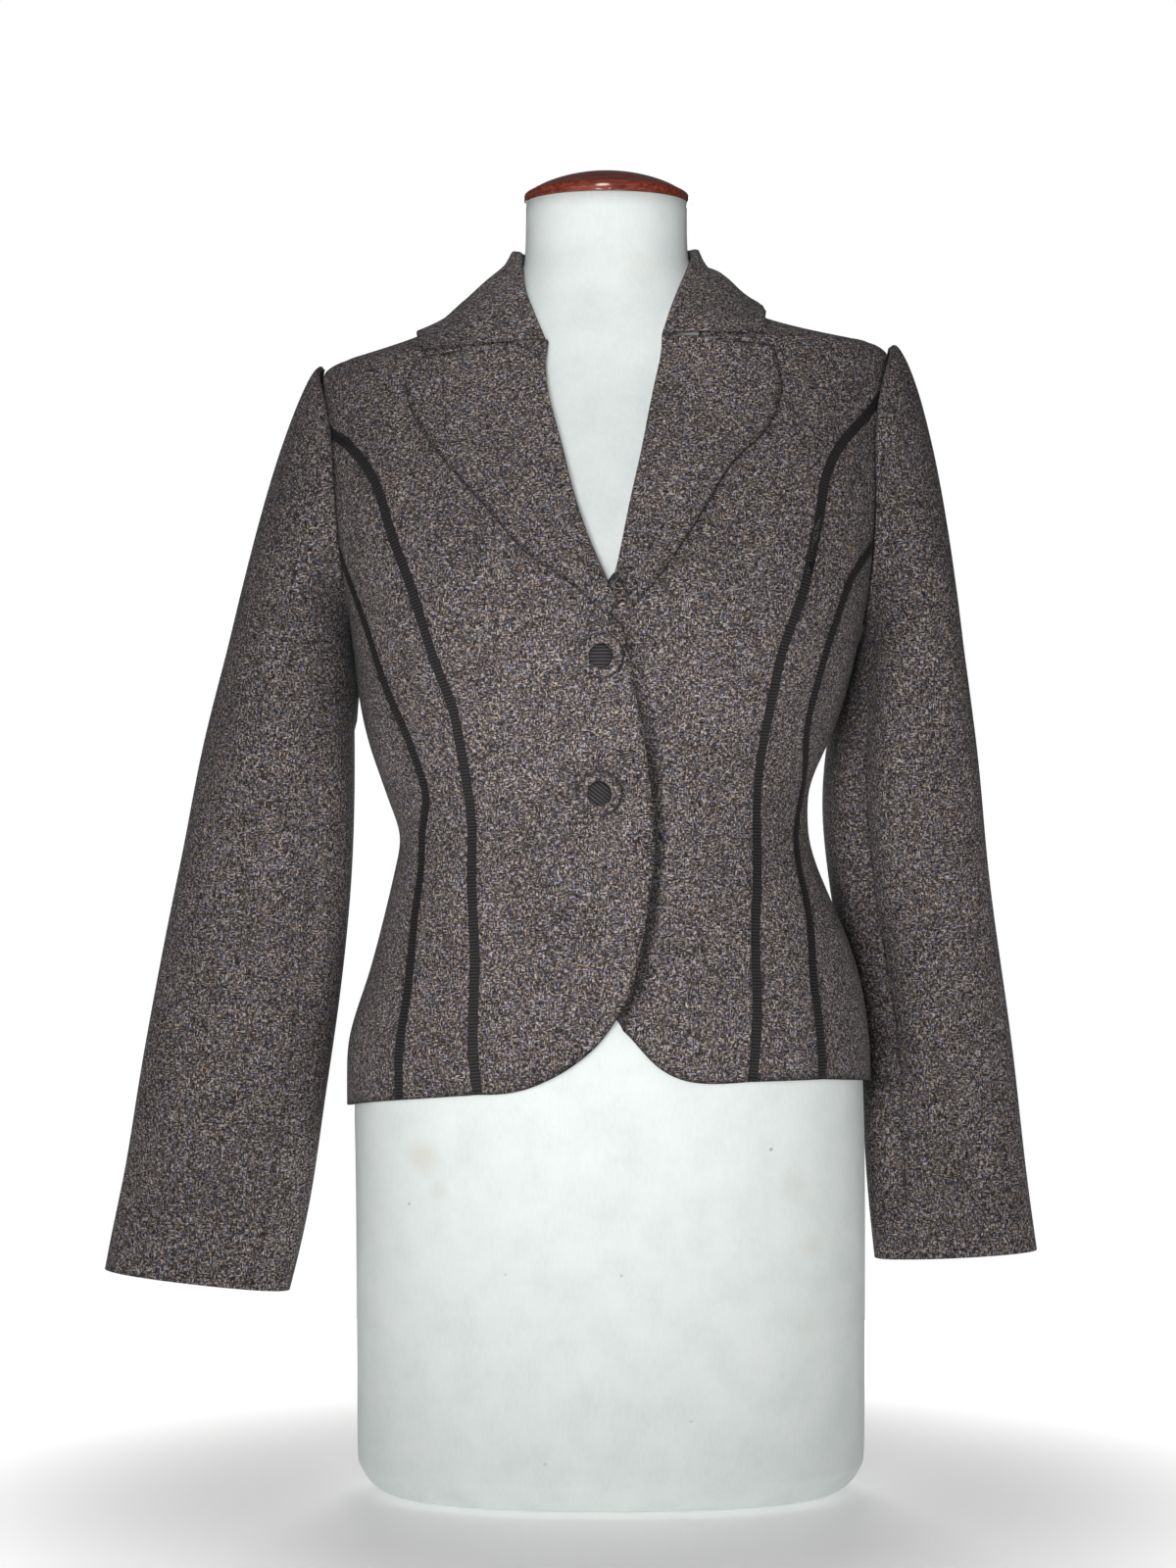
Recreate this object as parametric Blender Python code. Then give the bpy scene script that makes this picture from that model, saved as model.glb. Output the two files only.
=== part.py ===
"""A fitted, hip-length tweed jacket with notched lapels, worn on a limbless dress form.

Frame: +Z up, -Y is the front, the origin is the middle of the form's flat underside.
"Right" and "left" are the wearer's: the right half lies at -X and laps over the left one.

One body surface carries the whole object. A point of it is (turn, height): turn is the
angle round the body from the front, height is z. The panels, ribbons, lapels, collar and
the form are all patches of that surface moved out or in along its normal, so the gaps
between them follow from a few named offsets. Tables and offsets are in millimetres.
"""
import math

import bpy
import bmesh
import numpy as np

MM = 0.001
RIGHT = -1
LEFT = 1

# Driving dimensions
CLOTH = 2.0
SEAM_HALF_GAP = 0.18
OVERLAP_LIFT = 3.4
OVERLAP_STARTS_X = -62.0
OVERLAP_FULL_X = -27.0
ROLL_RADIUS = 1.6
UNDER_LAYER = 1.3
UNDER_SHARES = (1.0, 0.5)
ROLL_STEPS = (-90, -45, 0, 45, 90)
FALL_SHARES = (0.22, 0.42, 0.62, 0.82, 1.0)
FALL_LEAST = 2.4
SWELL_ENDS = 0.87
EDGE_SETTLE = 1.0
RIBBON_WIDTH = 6.5
RIBBON_THICK = 0.8
RIBBON_CLEAR = 0.5
RIBBON_HEM_TRIM = 1.0
RIBBON_FRONT_TRIM = 19.0
RIBBON_SIDE_TRIM = 11.0
BUTTON_RADIUS = 14.7
SHARP_ANGLE = math.radians(50)
BUTTON_FACE_RADIUS = 7.5
BUTTON_RING_RADIUS = 7.9
CAP_OVERHANG = 1.6
CAP_CLEAR = 0.35
NECK_TOP = 851.0
BASE_ROUND = 28.0
BASE_ROUND_STEPS = (90, 65, 40, 20, 0)
SLEEVE_CLEAR = 0.5
SLEEVE_TOP_CLEAR = 2.0
SLEEVE_SEAT = 3.2
SLEEVE_HEAD_ROPE = 3.6
NECK_POINT_TURN = math.radians(84)
NECKLINE_GAP = 2.2
FORM_ARM_PLATE = {RIGHT: 168.0, LEFT: 165.0}

# Grid counts
ROWS = 17
FRONT_ARMHOLE_ROWS = 2
BACK_ARMHOLE_ROWS = 4
SHOULDER_ROWS = 6
FRONT_COLUMNS = 6
FRONT_SIDE_COLUMNS = 3
SIDE_COLUMNS = 5
BACK_COLUMNS = 7
LAPEL_STATIONS = 12
COLLAR_STATIONS = 24
SLEEVE_POINTS = 20
SLEEVE_HEAD_RINGS = 7
FORM_POINTS = 36
BUTTON_POINTS = 18
CURVE_DENSITY = 160
TURN_STEP = 0.004
HEIGHT_STEP = 0.6

# Body sections, inner face of the cloth:
# height, half width on the wearer's right, half width on the left, front depth, back depth, power
BODY_SECTIONS = np.array([
    (0.0, 167.0, 171.0, 108.0, 118.0, 2.40),
    (120.0, 168.0, 172.0, 111.0, 121.0, 2.40),
    (230.0, 169.0, 172.0, 112.0, 122.0, 2.40),
    (262.0, 170.0, 171.5, 112.0, 122.0, 2.40),
    (288.0, 169.5, 171.0, 111.0, 121.0, 2.40),
    (312.0, 164.5, 168.8, 110.0, 118.0, 2.40),
    (340.0, 155.5, 163.5, 107.0, 113.0, 2.35),
    (370.0, 147.5, 153.5, 104.0, 106.0, 2.30),
    (400.0, 140.5, 140.5, 101.0, 98.0, 2.25),
    (430.0, 135.5, 131.0, 100.0, 90.0, 2.20),
    (455.0, 143.0, 130.3, 100.5, 86.5, 2.20),
    (475.0, 150.0, 136.0, 103.0, 86.0, 2.25),
    (500.0, 158.0, 147.0, 107.0, 88.0, 2.30),
    (530.0, 163.5, 157.0, 114.0, 93.0, 2.40),
    (560.0, 167.0, 164.0, 120.0, 99.0, 2.50),
    (580.0, 170.0, 168.5, 121.0, 102.0, 2.60),
    (610.0, 176.0, 174.0, 115.0, 107.0, 2.70),
    (650.0, 182.5, 179.0, 101.0, 112.0, 2.90),
    (700.0, 186.5, 182.0, 80.0, 110.0, 3.00),
    (726.0, 187.0, 183.0, 69.0, 104.0, 3.00),
    (735.0, 183.0, 183.5, 65.5, 101.0, 3.00),
    (746.0, 162.0, 183.0, 62.0, 97.0, 2.90),
    (754.0, 139.0, 173.0, 59.5, 93.0, 2.80),
    (763.0, 117.0, 135.0, 56.5, 87.5, 2.70),
    (775.0, 92.0, 95.0, 52.5, 80.0, 2.50),
    (790.0, 72.0, 72.0, 48.5, 72.0, 2.20),
    (805.0, 60.5, 60.0, 46.5, 66.5, 2.05),
    (820.0, 57.0, 55.5, 45.5, 64.0, 2.00),
    (860.0, 56.0, 54.5, 45.5, 63.5, 2.00),
])

# Room between the form and the cloth: height, distance inwards
FORM_ROOM = np.array([
    (0.0, 2.5),
    (240.0, 2.5),
    (300.0, 4.0),
    (430.0, 5.0),
    (560.0, 5.0),
    (650.0, 4.0),
    (700.0, 3.6),
    (735.0, 3.4),
    (752.0, 3.1),
    (775.0, 2.4),
    (790.0, 3.0),
    (805.0, 2.7),
    (860.0, 1.8),
])

# Heights of the form's rings above the rounded lower edge
FORM_HEIGHTS = (70, 140, 210, 270, 310, 350, 390, 430, 470, 510, 550, 585, 620, 660, 695, 718,
                730, 738, 746, 754, 763, 774, 785, 795, 806, 818)

# Seam and edge lines of the fronts as (x, z), from the hem upwards
FRONT_EDGE_OVER = ((0, 307), (11.5, 325), (19, 350), (26, 393), (28.7, 426), (27.6, 453),
                   (25, 480), (16, 530), (12, 553), (9, 563.5))
FRONT_EDGE_UNDER = ((10, 308), (-2, 323), (-14, 350), (-21, 390), (-24, 430), (-24, 480),
                    (-21, 525), (-12, 557), (2, 582))
FRONT_SEAM_RIGHT = ((-82, 267), (-84, 336), (-85, 382), (-86, 426), (-92, 481), (-98, 512),
                    (-111, 546), (-122, 581), (-136, 619), (-143, 642), (-150, 660), (-164, 680))
FRONT_SEAM_LEFT = ((90, 275), (92.5, 359), (94, 439), (95, 471), (99.5, 501), (108, 545),
                   (116, 565), (124, 592), (131, 620), (136, 648), (141, 670), (153, 687))
SIDE_SEAM_RIGHT = ((-132, 262), (-130, 311), (-123, 376), (-118, 435), (-116, 460), (-121, 476),
                   (-129, 498), (-138, 518), (-149, 549), (-156, 571))
SIDE_SEAM_LEFT = ((135, 275), (131, 327), (125, 393), (123, 403), (124, 462), (126, 490),
                  (130, 520), (137.5, 547), (146, 573), (155, 598))
BACK_SEAM_RIGHT = ((-128, 255), (-122, 330), (-104, 400), (-96, 445), (-104, 500), (-128, 560))
BACK_SEAM_LEFT = ((130, 266), (124, 330), (104, 400), (94, 445), (102, 500), (128, 560))
HEM_FRONT_RIGHT = ((-82, 267), (-64, 268), (-36, 277.5), (-14, 292), (0, 307))
HEM_FRONT_LEFT = ((90, 275), (66, 274), (45.5, 277), (32, 284), (19, 297), (10, 308))
HEM_SIDE_HEIGHT = {RIGHT: 253.0, LEFT: 269.0}
HEM_BACK_HEIGHT = 258.0

# Rows of the fronts pinned to the corner where the edge turns into the lapel: row, height
FRONT_PINS = {RIGHT: ((11, 563.5), (12, 571.0)), LEFT: ((11, 582.0), (12, 589.0))}

# Armholes: bottom, top, reach to the front, reach to the back, height of the front seam's end,
# height of the side seam's end, height of the back seam's end
ARMHOLES = {
    RIGHT: (575.0, 731.0, 46.0, 54.0, 696.0, 617.0, 622.0),
    LEFT: (575.0, 746.0, 46.0, 54.0, 720.0, 622.0, 626.0),
}

# Lapels: roll line and outer edge as (x, z), from the break up to the gorge seam
LAPEL_FOLD_RIGHT = ((4.5, 574.5), (0.5, 583), (-4, 592), (-21, 638), (-32, 682), (-41, 748))
LAPEL_EDGE_RIGHT = ((0, 568), (-16, 581), (-52, 607), (-78, 637), (-97, 659), (-123, 696),
                    (-130, 719), (-122, 739.5))
LAPEL_FOLD_LEFT = ((5, 592), (6.5, 598), (14.6, 641), (22, 675), (29, 712), (35.5, 752.9))
LAPEL_EDGE_LEFT = ((15, 573), (24, 583), (41, 605), (59.5, 634), (79, 666), (102, 691),
                   (111, 716), (107, 747.5))
LAPEL_UNDER = (2.6, 8.0)
LAPEL_GROWS = 0.3
LAPEL_ROLL = 1.6

# Collar: fold line and outer edge, from the right gorge round the back to the left gorge:
# x, z, on the back or not
COLLAR_FOLD = ((-41, 748.8, 0), (-46, 762, 0), (-51, 776, 0), (-55.5, 800, 0), (-60, 816, 1),
               (-42, 823, 1), (-20, 827, 1), (0, 828, 1), (20, 827.5, 1), (42, 825, 1),
               (59, 819, 1), (50.5, 800, 0), (44, 780, 0), (39.5, 766, 0), (35.5, 753.4, 0))
COLLAR_EDGE = ((-121, 743, 0), (-123, 754, 0), (-130, 764, 1), (-95, 768, 1), (-50, 772, 1),
               (0, 773, 1), (50, 775, 1), (80, 777, 1), (120, 775, 1), (101.5, 765, 0),
               (102.5, 754.5, 0))
COLLAR_UNDER = (8.0, 18.0)
COLLAR_UNDER_GROWS = 0.28
COLLAR_ROLL = 2.6
COLLAR_FLARE = 5.0
COLLAR_FLARE_PLACE = 0.80
COLLAR_FLARE_SPREAD = 0.10

# Sleeve sections below the armpit: inner z, inner x, outer z, outer x, middle y, half depth,
# how far the inner side hangs back, depth of the fold along the front seam
SLEEVE_SECTIONS = {
    RIGHT: (
        (524, -169.0, 545, -254.7, 8, 58, 0, 1),
        (470, -168.5, 489, -269.0, 9, 54, 0, 2),
        (412, -170.0, 430, -280.3, 9, 49, 0, 2),
        (360, -174.0, 381, -290.2, 8, 44, 0, 2),
        (308, -180.0, 326, -300.5, 6, 40, 0, 1),
        (255, -187.5, 270, -310.0, 3, 36, 0, 0),
        (201, -195.0, 217, -318.0, 0, 32, 0, 0),
        (160, -203.0, 176, -326.0, -2, 30, 0, 0),
        (131, -210.0, 145, -332.0, -3, 28, 0, 0),
    ),
    LEFT: (
        (516, 153.0, 540, 238.5, 30, 58, 22, 5),
        (462, 146.5, 482, 247.0, 36, 53, 20, 9),
        (408, 150.0, 426, 253.0, 40, 47, 16, 9),
        (360, 157.0, 376, 259.8, 43, 42, 10, 8),
        (310, 167.0, 322, 268.0, 44, 38, 6, 7),
        (263, 172.0, 274, 274.3, 43, 35, 4, 5),
        (216, 174.0, 226, 279.5, 41, 32, 2, 4),
        (177, 177.0, 187, 284.0, 39, 30, 2, 2),
        (147, 180.0, 153, 288.6, 38, 28, 2, 1),
    ),
}
SLEEVE_POWER = 2.25
SLEEVE_OUT_PULL = {RIGHT: (14.0, 65.0), LEFT: (14.0, 84.0)}
SLEEVE_DOWN_PULL = 0.62
SLEEVE_LEAVE_SIDEWAYS = 0.6
SLEEVE_HEAD_CROWDING = 1.35
SLEEVE_SEAM_FRONT = round(0.36 * SLEEVE_POINTS)
SLEEVE_SEAM_BACK = round(0.73 * SLEEVE_POINTS)

# Buttons on the over front: name, x, z, room under the middle
BUTTONS = (("upper", -5.0, 545.0, 0.6), ("lower", -5.6, 458.0, 1.2))
BUTTON_RING_PROFILE = ((BUTTON_RING_RADIUS, 0.0), (12.6, 0.0), (14.2, 0.9), (BUTTON_RADIUS, 2.2),
                       (14.0, 3.5), (12.0, 4.3), (9.8, 4.1), (BUTTON_RING_RADIUS, 3.2))
BUTTON_FACE_PROFILE = ((6.6, 0.0), (BUTTON_FACE_RADIUS, 0.8), (BUTTON_FACE_RADIUS, 3.2),
                       (6.4, 4.4), (3.6, 5.1))

# Wooden neck cap: radius less the neck's, height above the cap's underside
CAP_PROFILE = ((-1.0, 0.0), (1.0, 0.7), (CAP_OVERHANG, 2.6), (CAP_OVERHANG, 4.8), (0.6, 6.6),
               (-3.0, 8.6), (-10.0, 12.4), (-22.0, 16.8), (-36.0, 20.0), (-48.0, 21.4))

# Finishes: base colour, roughness
FINISHES = {
    "tweed": ((0.105, 0.082, 0.070, 1.0), 0.95),
    "grosgrain": ((0.040, 0.034, 0.031, 1.0), 0.62),
    "jersey": ((0.730, 0.770, 0.750, 1.0), 0.90),
    "mahogany": ((0.090, 0.022, 0.014, 1.0), 0.25),
}


def monotone(xs, ys, x):
    """Smooth interpolation through a table that never overshoots its rows."""
    step = np.diff(xs)
    slope = np.diff(ys) / step
    tangent = np.zeros(len(xs))
    tangent[0], tangent[-1] = slope[0], slope[-1]
    for i in range(1, len(xs) - 1):
        if slope[i - 1] * slope[i] > 0:
            before = 2 * step[i] + step[i - 1]
            after = step[i] + 2 * step[i - 1]
            tangent[i] = (before + after) / (before / slope[i - 1] + after / slope[i])
    x = np.asarray(x, float)
    i = np.clip(np.searchsorted(xs, x, side="right") - 1, 0, len(step) - 1)
    h = step[i]
    t = np.clip((x - xs[i]) / h, 0.0, 1.0)
    return (ys[i] * (1 + 2 * t) * (1 - t) ** 2 + h * tangent[i] * t * (1 - t) ** 2
            + ys[i + 1] * t * t * (3 - 2 * t) + h * tangent[i + 1] * t * t * (t - 1))


def section(z):
    """Half widths, depths and power of the body at a height."""
    return [monotone(BODY_SECTIONS[:, 0], BODY_SECTIONS[:, k], z) for k in range(1, 6)]


def surface(turn, z):
    """Point of the body surface at a turn (radians from the front, + to the wearer's left)."""
    half_right, half_left, front, back, power = section(z)
    sine, cosine = np.sin(turn), np.cos(turn)
    reach = (np.abs(sine) ** power + np.abs(cosine) ** power) ** (1 / power)
    x = np.where(sine < 0, half_right, half_left) * sine / reach
    y = -np.where(cosine > 0, front, back) * cosine / reach
    return np.stack([x, y, np.asarray(z, float) + 0 * x], axis=-1)


def unit(v):
    return v / np.maximum(np.linalg.norm(v, axis=-1, keepdims=True), 1e-9)


def normal(turn, z):
    """Outward normal of the body surface."""
    around = surface(turn + TURN_STEP, z) - surface(turn - TURN_STEP, z)
    up = surface(turn, z + HEIGHT_STEP) - surface(turn, z - HEIGHT_STEP)
    return unit(np.cross(around, up))


def turn_at_x(x, z, side, back=False):
    """Turn of the surface point at a given x and height, on the front or the back."""
    half_right, half_left, _, _, power = section(z)
    half = half_right if x < 0 else half_left
    share = min(abs(x) / half, 0.999999) ** power
    angle = math.atan((share / (1 - share)) ** (1 / power))
    if back:
        return side * (math.pi - angle)
    return math.copysign(angle, x)


def turn_at_y(y, z, side):
    """Turn of the surface point at a given y and height, near the side of the body."""
    _, _, front, back, power = section(z)
    depth = front if y < 0 else back
    share = max(min(abs(y) / depth, 0.999999), 1e-6) ** power
    angle = math.atan(((1 - share) / share) ** (1 / power))
    return side * (angle if y < 0 else math.pi - angle)


def overlap_lift(turn, z):
    """How far the over front is raised to pass over the under front."""
    x = surface(turn, z)[..., 0]
    share = (x - OVERLAP_STARTS_X) / (OVERLAP_FULL_X - OVERLAP_STARTS_X)
    share = np.clip(share, 0.0, 1.0)
    return np.where(np.cos(turn) > 0, OVERLAP_LIFT * share * share * (3 - 2 * share), 0.0)


def no_lift(turn, z):
    return np.zeros(np.shape(turn))


def over_side_lift(turn, z):
    """The over front's lift, for a piece that also crosses the under side."""
    return np.where(np.sin(turn) < 0, overlap_lift(turn, z), 0.0)


def lengths(points):
    """Running length along a line of (turn, z) points."""
    places = surface(points[:, 0], points[:, 1])
    return np.concatenate([[0.0], np.cumsum(np.linalg.norm(np.diff(places, axis=0), axis=1))])


def smooth_line(points):
    """Dense smooth line through (turn, z) points."""
    points = np.array(points, float)
    run = lengths(points)
    dense = np.linspace(0, run[-1], CURVE_DENSITY)
    return np.stack([monotone(run, points[:, 0], dense), monotone(run, points[:, 1], dense)], axis=1)


def resample(line, count):
    """count + 1 points of a line, evenly spaced by length."""
    run = lengths(line)
    even = np.linspace(0, run[-1], count + 1)
    return np.stack([np.interp(even, run, line[:, k]) for k in range(2)], axis=1)


def join(*lines):
    """Lines end to end, without the repeated points."""
    pieces = [lines[0]]
    for line in lines[1:]:
        pieces.append(line[1:])
    return np.concatenate(pieces)


def front_line(points, side):
    """Smooth line through (x, z) points on the front."""
    return smooth_line([(turn_at_x(x, z, side), z) for x, z in points])


def back_line(points, side, end):
    """Smooth line through (x, z) points on the back, up to a (turn, z) end."""
    return smooth_line([(turn_at_x(x, z, side, True), z) for x, z in points] + [end])


def wrapped_line(rows):
    """Smooth line through (x, z, back) rows from the right front round the back to the left."""
    points = []
    for x, z, back in rows:
        turn = turn_at_x(x, z, RIGHT if x <= 0 else LEFT, bool(back))
        if turn > 0:
            turn -= 2 * math.pi
        points.append((turn, z))
    return smooth_line(points)


def armhole_point(side, angle):
    """(turn, z) on the armhole: angle 0 at the top, a quarter turn on at the front."""
    bottom, top, front, back = ARMHOLES[side][:4]
    z = (bottom + top) / 2 + (top - bottom) / 2 * math.cos(angle)
    sine = math.sin(angle)
    y = -(front if sine > 0 else back) * sine
    return turn_at_y(y, z, side), z


def armhole_angle(side, z, back=False):
    bottom, top = ARMHOLES[side][:2]
    angle = math.acos((2 * z - bottom - top) / (top - bottom))
    return 2 * math.pi - angle if back else angle


def armhole_line(side, start, end, count):
    return np.array([armhole_point(side, start + (end - start) * k / count) for k in range(count + 1)])


def material(name):
    colour, roughness = FINISHES[name]
    found = bpy.data.materials.get(name)
    if found:
        return found
    made = bpy.data.materials.new(name)
    made.use_nodes = True
    shader = made.node_tree.nodes["Principled BSDF"]
    shader.inputs["Base Color"].default_value = colour
    shader.inputs["Roughness"].default_value = roughness
    shader.inputs["Metallic"].default_value = 0.0
    made.diffuse_color = colour
    return made


def make_object(name, points, faces, finish):
    """Closed mesh object in metres, faces outwards, smooth but for its edges."""
    mesh = bpy.data.meshes.new(name)
    mesh.from_pydata([tuple(p) for p in np.asarray(points) * MM], [], faces)
    work = bmesh.new()
    work.from_mesh(mesh)
    bmesh.ops.triangulate(work, faces=work.faces, quad_method="SHORT_EDGE")
    bmesh.ops.recalc_face_normals(work, faces=work.faces)
    work.to_mesh(mesh)
    work.free()
    mesh.shade_smooth()
    mesh.set_sharp_from_angle(angle=SHARP_ANGLE)
    mesh.materials.append(material(finish))
    made = bpy.data.objects.new(name, mesh)
    bpy.context.scene.collection.objects.link(made)
    return made


def wall(name, inner, outer, finish):
    """Closed wall between two grids of points."""
    rows, columns = inner.shape[:2]
    size = rows * columns

    def at(layer, i, j):
        return layer * size + i * columns + j

    faces = []
    for i in range(rows - 1):
        for j in range(columns - 1):
            ring = ((i, j), (i, j + 1), (i + 1, j + 1), (i + 1, j))
            faces.append([at(1, *p) for p in ring])
            faces.append([at(0, *p) for p in reversed(ring)])
    rim = [(0, j) for j in range(columns)]
    rim += [(i, columns - 1) for i in range(1, rows)]
    rim += [(rows - 1, j) for j in range(columns - 2, -1, -1)]
    rim += [(i, 0) for i in range(rows - 2, 0, -1)]
    for p, q in zip(rim, rim[1:] + rim[:1]):
        faces.append([at(1, *q), at(1, *p), at(0, *p), at(0, *q)])
    points = np.concatenate([inner.reshape(-1, 3), outer.reshape(-1, 3)])
    return make_object(name, points, faces, finish)


def stack(name, rings, finish):
    """Closed solid through a pile of rings, with flat ends."""
    count, around = rings.shape[:2]
    faces = [list(range(around - 1, -1, -1))]
    for k in range(count - 1):
        for j in range(around):
            n = (j + 1) % around
            faces.append([k * around + j, k * around + n, (k + 1) * around + n, (k + 1) * around + j])
    faces.append([(count - 1) * around + j for j in range(around)])
    return make_object(name, rings.reshape(-1, 3), faces, finish)


def loop_solid(name, rings, finish):
    """Closed ring-shaped solid: a closed profile carried round a closed circle."""
    count, around = rings.shape[:2]
    faces = []
    for k in range(count):
        for j in range(around):
            m, n = (k + 1) % count, (j + 1) % around
            faces.append([k * around + j, k * around + n, m * around + n, m * around + j])
    return make_object(name, rings.reshape(-1, 3), faces, finish)


def inset(grid, gap):
    """The grid with its edges drawn in square to themselves, for the gaps at the seams."""
    shifted = grid.copy()
    for axis in (0, 1):
        turned = np.swapaxes(grid, 0, axis)
        moved = np.swapaxes(shifted, 0, axis)
        for edge, inside in ((0, 1), (-1, -2)):
            along = unit(np.gradient(turned[edge], axis=0))
            inwards = turned[inside] - turned[edge]
            inwards = inwards - along * np.sum(inwards * along, axis=-1, keepdims=True)
            moved[edge] += gap * unit(inwards)
    return shifted


def panel(name, left, right, bottom, top, lift):
    """Cloth panel filling the patch between four lines of (turn, z) points."""
    u = np.linspace(0, 1, len(bottom))[None, :, None]
    v = np.linspace(0, 1, len(left))[:, None, None]
    patch = ((1 - v) * bottom[None] + v * top[None] + (1 - u) * left[:, None] + u * right[:, None]
             - (1 - u) * (1 - v) * bottom[0] - u * (1 - v) * bottom[-1]
             - (1 - u) * v * top[0] - u * v * top[-1])
    turn, z = patch[..., 0], patch[..., 1]
    out = normal(turn, z)
    raised = surface(turn, z) + lift(turn, z)[..., None] * out
    inner = inset(raised, SEAM_HALF_GAP)
    return wall(name, inner, inner + CLOTH * out, "tweed")


def grid_normals(grid):
    """Normals of a grid of points, from its two directions."""
    return unit(np.cross(np.gradient(grid, axis=1), np.gradient(grid, axis=0)))


def share_along(fold, edge, width):
    """Points at a width in from the fold line, on the way to the edge line."""
    span = np.linalg.norm(surface(edge[:, 0], edge[:, 1]) - surface(fold[:, 0], fold[:, 1]), axis=1)
    return fold + (edge - fold) * (np.asarray(width) / span)[:, None]


def folded_band(name, fold, edge, under, roll, flare, lift):
    """Cloth that comes up from under, turns over at the fold line and lies back to its edge."""
    span = np.linalg.norm(surface(edge[:, 0], edge[:, 1]) - surface(fold[:, 0], fold[:, 1]), axis=1)
    over = UNDER_LAYER + 2 * ROLL_RADIUS
    path = []
    for share in UNDER_SHARES:
        path.append((ROLL_RADIUS + (under - ROLL_RADIUS) * share, UNDER_LAYER + 0 * span))
    for degrees in ROLL_STEPS:
        angle = math.radians(degrees)
        path.append((ROLL_RADIUS * (1 - math.cos(angle)) + 0 * span,
                     UNDER_LAYER + ROLL_RADIUS * (1 + math.sin(angle)) + 0 * span))
    for share in FALL_SHARES:
        swell = roll * math.sin(math.pi * min(share / SWELL_ENDS, 1.0)) ** 2
        path.append((np.maximum(span * share, FALL_LEAST * (1 + share)),
                     over + swell + flare * share ** 2))
    grid = []
    for width, height in path:
        spot = share_along(fold, edge, np.minimum(width, span))
        turn, z = spot[:, 0], spot[:, 1]
        grid.append(surface(turn, z) + (height + lift(turn, z))[:, None] * normal(turn, z))
    middle = inset(np.stack(grid, axis=1), SEAM_HALF_GAP)
    out = grid_normals(middle) * CLOTH / 2
    return wall(name, middle - out, middle + out, "tweed")


def ribbon(name, line, top_trim):
    """Narrow ribbon laid along a seam, on the panels' own points moved out."""
    line = line.copy()
    run = lengths(line)
    for k in range(2):
        start = np.interp(RIBBON_HEM_TRIM, run, line[:, k])
        end = np.interp(run[-1] - top_trim, run, line[:, k])
        line[0, k], line[-1, k] = start, end
    centre = surface(line[:, 0], line[:, 1])
    out = normal(line[:, 0], line[:, 1])
    across = unit(np.cross(out, np.gradient(centre, axis=0))) * RIBBON_WIDTH / 2
    base = np.stack([centre - across, centre, centre + across], axis=1)
    low = base + (CLOTH + RIBBON_CLEAR) * out[:, None]
    return wall(name, low, low + RIBBON_THICK * out[:, None], "grosgrain")


def sleeve_rings(side):
    """Rings of a sleeve's outer face, from the armhole down to the cuff."""
    angles = 2 * math.pi * np.arange(SLEEVE_POINTS) / SLEEVE_POINTS
    hole = np.array([armhole_point(side, a) for a in angles])
    seat = surface(hole[:, 0], hole[:, 1])
    out = normal(hole[:, 0], hole[:, 1])
    around = unit(np.roll(seat, -1, axis=0) - np.roll(seat, 1, axis=0))
    away = unit(np.cross(around, out))
    away *= np.sign(np.sum(away * (seat - seat.mean(axis=0)), axis=1))[:, None]
    upper = (np.cos(angles) + 1) / 2
    clear = SLEEVE_CLEAR + (SLEEVE_TOP_CLEAR - SLEEVE_CLEAR) * upper ** 2
    start = seat + (CLOTH + clear)[:, None] * out + SLEEVE_SEAT * away
    stations = []
    cosine, sine = np.cos(angles), np.sin(angles)
    reach = (np.abs(cosine) ** SLEEVE_POWER + np.abs(sine) ** SLEEVE_POWER) ** (1 / SLEEVE_POWER)
    across, deep = cosine / reach, sine / reach
    for row in SLEEVE_SECTIONS[side]:
        inner_z, inner_x, outer_z, outer_x, middle_y, half_depth, hang_back, fold = row
        ring = np.stack([
            (outer_x + inner_x) / 2 + (outer_x - inner_x) / 2 * across,
            middle_y - half_depth * deep - hang_back * across,
            (outer_z + inner_z) / 2 + (outer_z - inner_z) / 2 * across], axis=1)
        ring[SLEEVE_SEAM_FRONT] += fold * unit(ring.mean(axis=0) - ring[SLEEVE_SEAM_FRONT])
        stations.append(ring)
    low_pull, high_pull = SLEEVE_OUT_PULL[side]
    leave = SLEEVE_LEAVE_SIDEWAYS * np.array([[side, 0.0, 0.0]]) + (1 - SLEEVE_LEAVE_SIDEWAYS) * out
    leave = unit(leave) * (low_pull + (high_pull - low_pull) * upper)[:, None]
    drop = np.linalg.norm(stations[0] - start, axis=1)
    arrive = unit(stations[1] - stations[0]) * (SLEEVE_DOWN_PULL * drop)[:, None]
    rings = [start]
    for k in range(1, SLEEVE_HEAD_RINGS):
        t = (k / SLEEVE_HEAD_RINGS) ** SLEEVE_HEAD_CROWDING
        blend = (start * (1 + 2 * t) * (1 - t) ** 2 + leave * t * (1 - t) ** 2
                 + stations[0] * t * t * (3 - 2 * t) + arrive * t * t * (t - 1))
        if k == 1:
            blend = blend + (SLEEVE_HEAD_ROPE * upper)[:, None] * away
        rings.append(blend)
    return np.array(rings + stations), away


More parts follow.
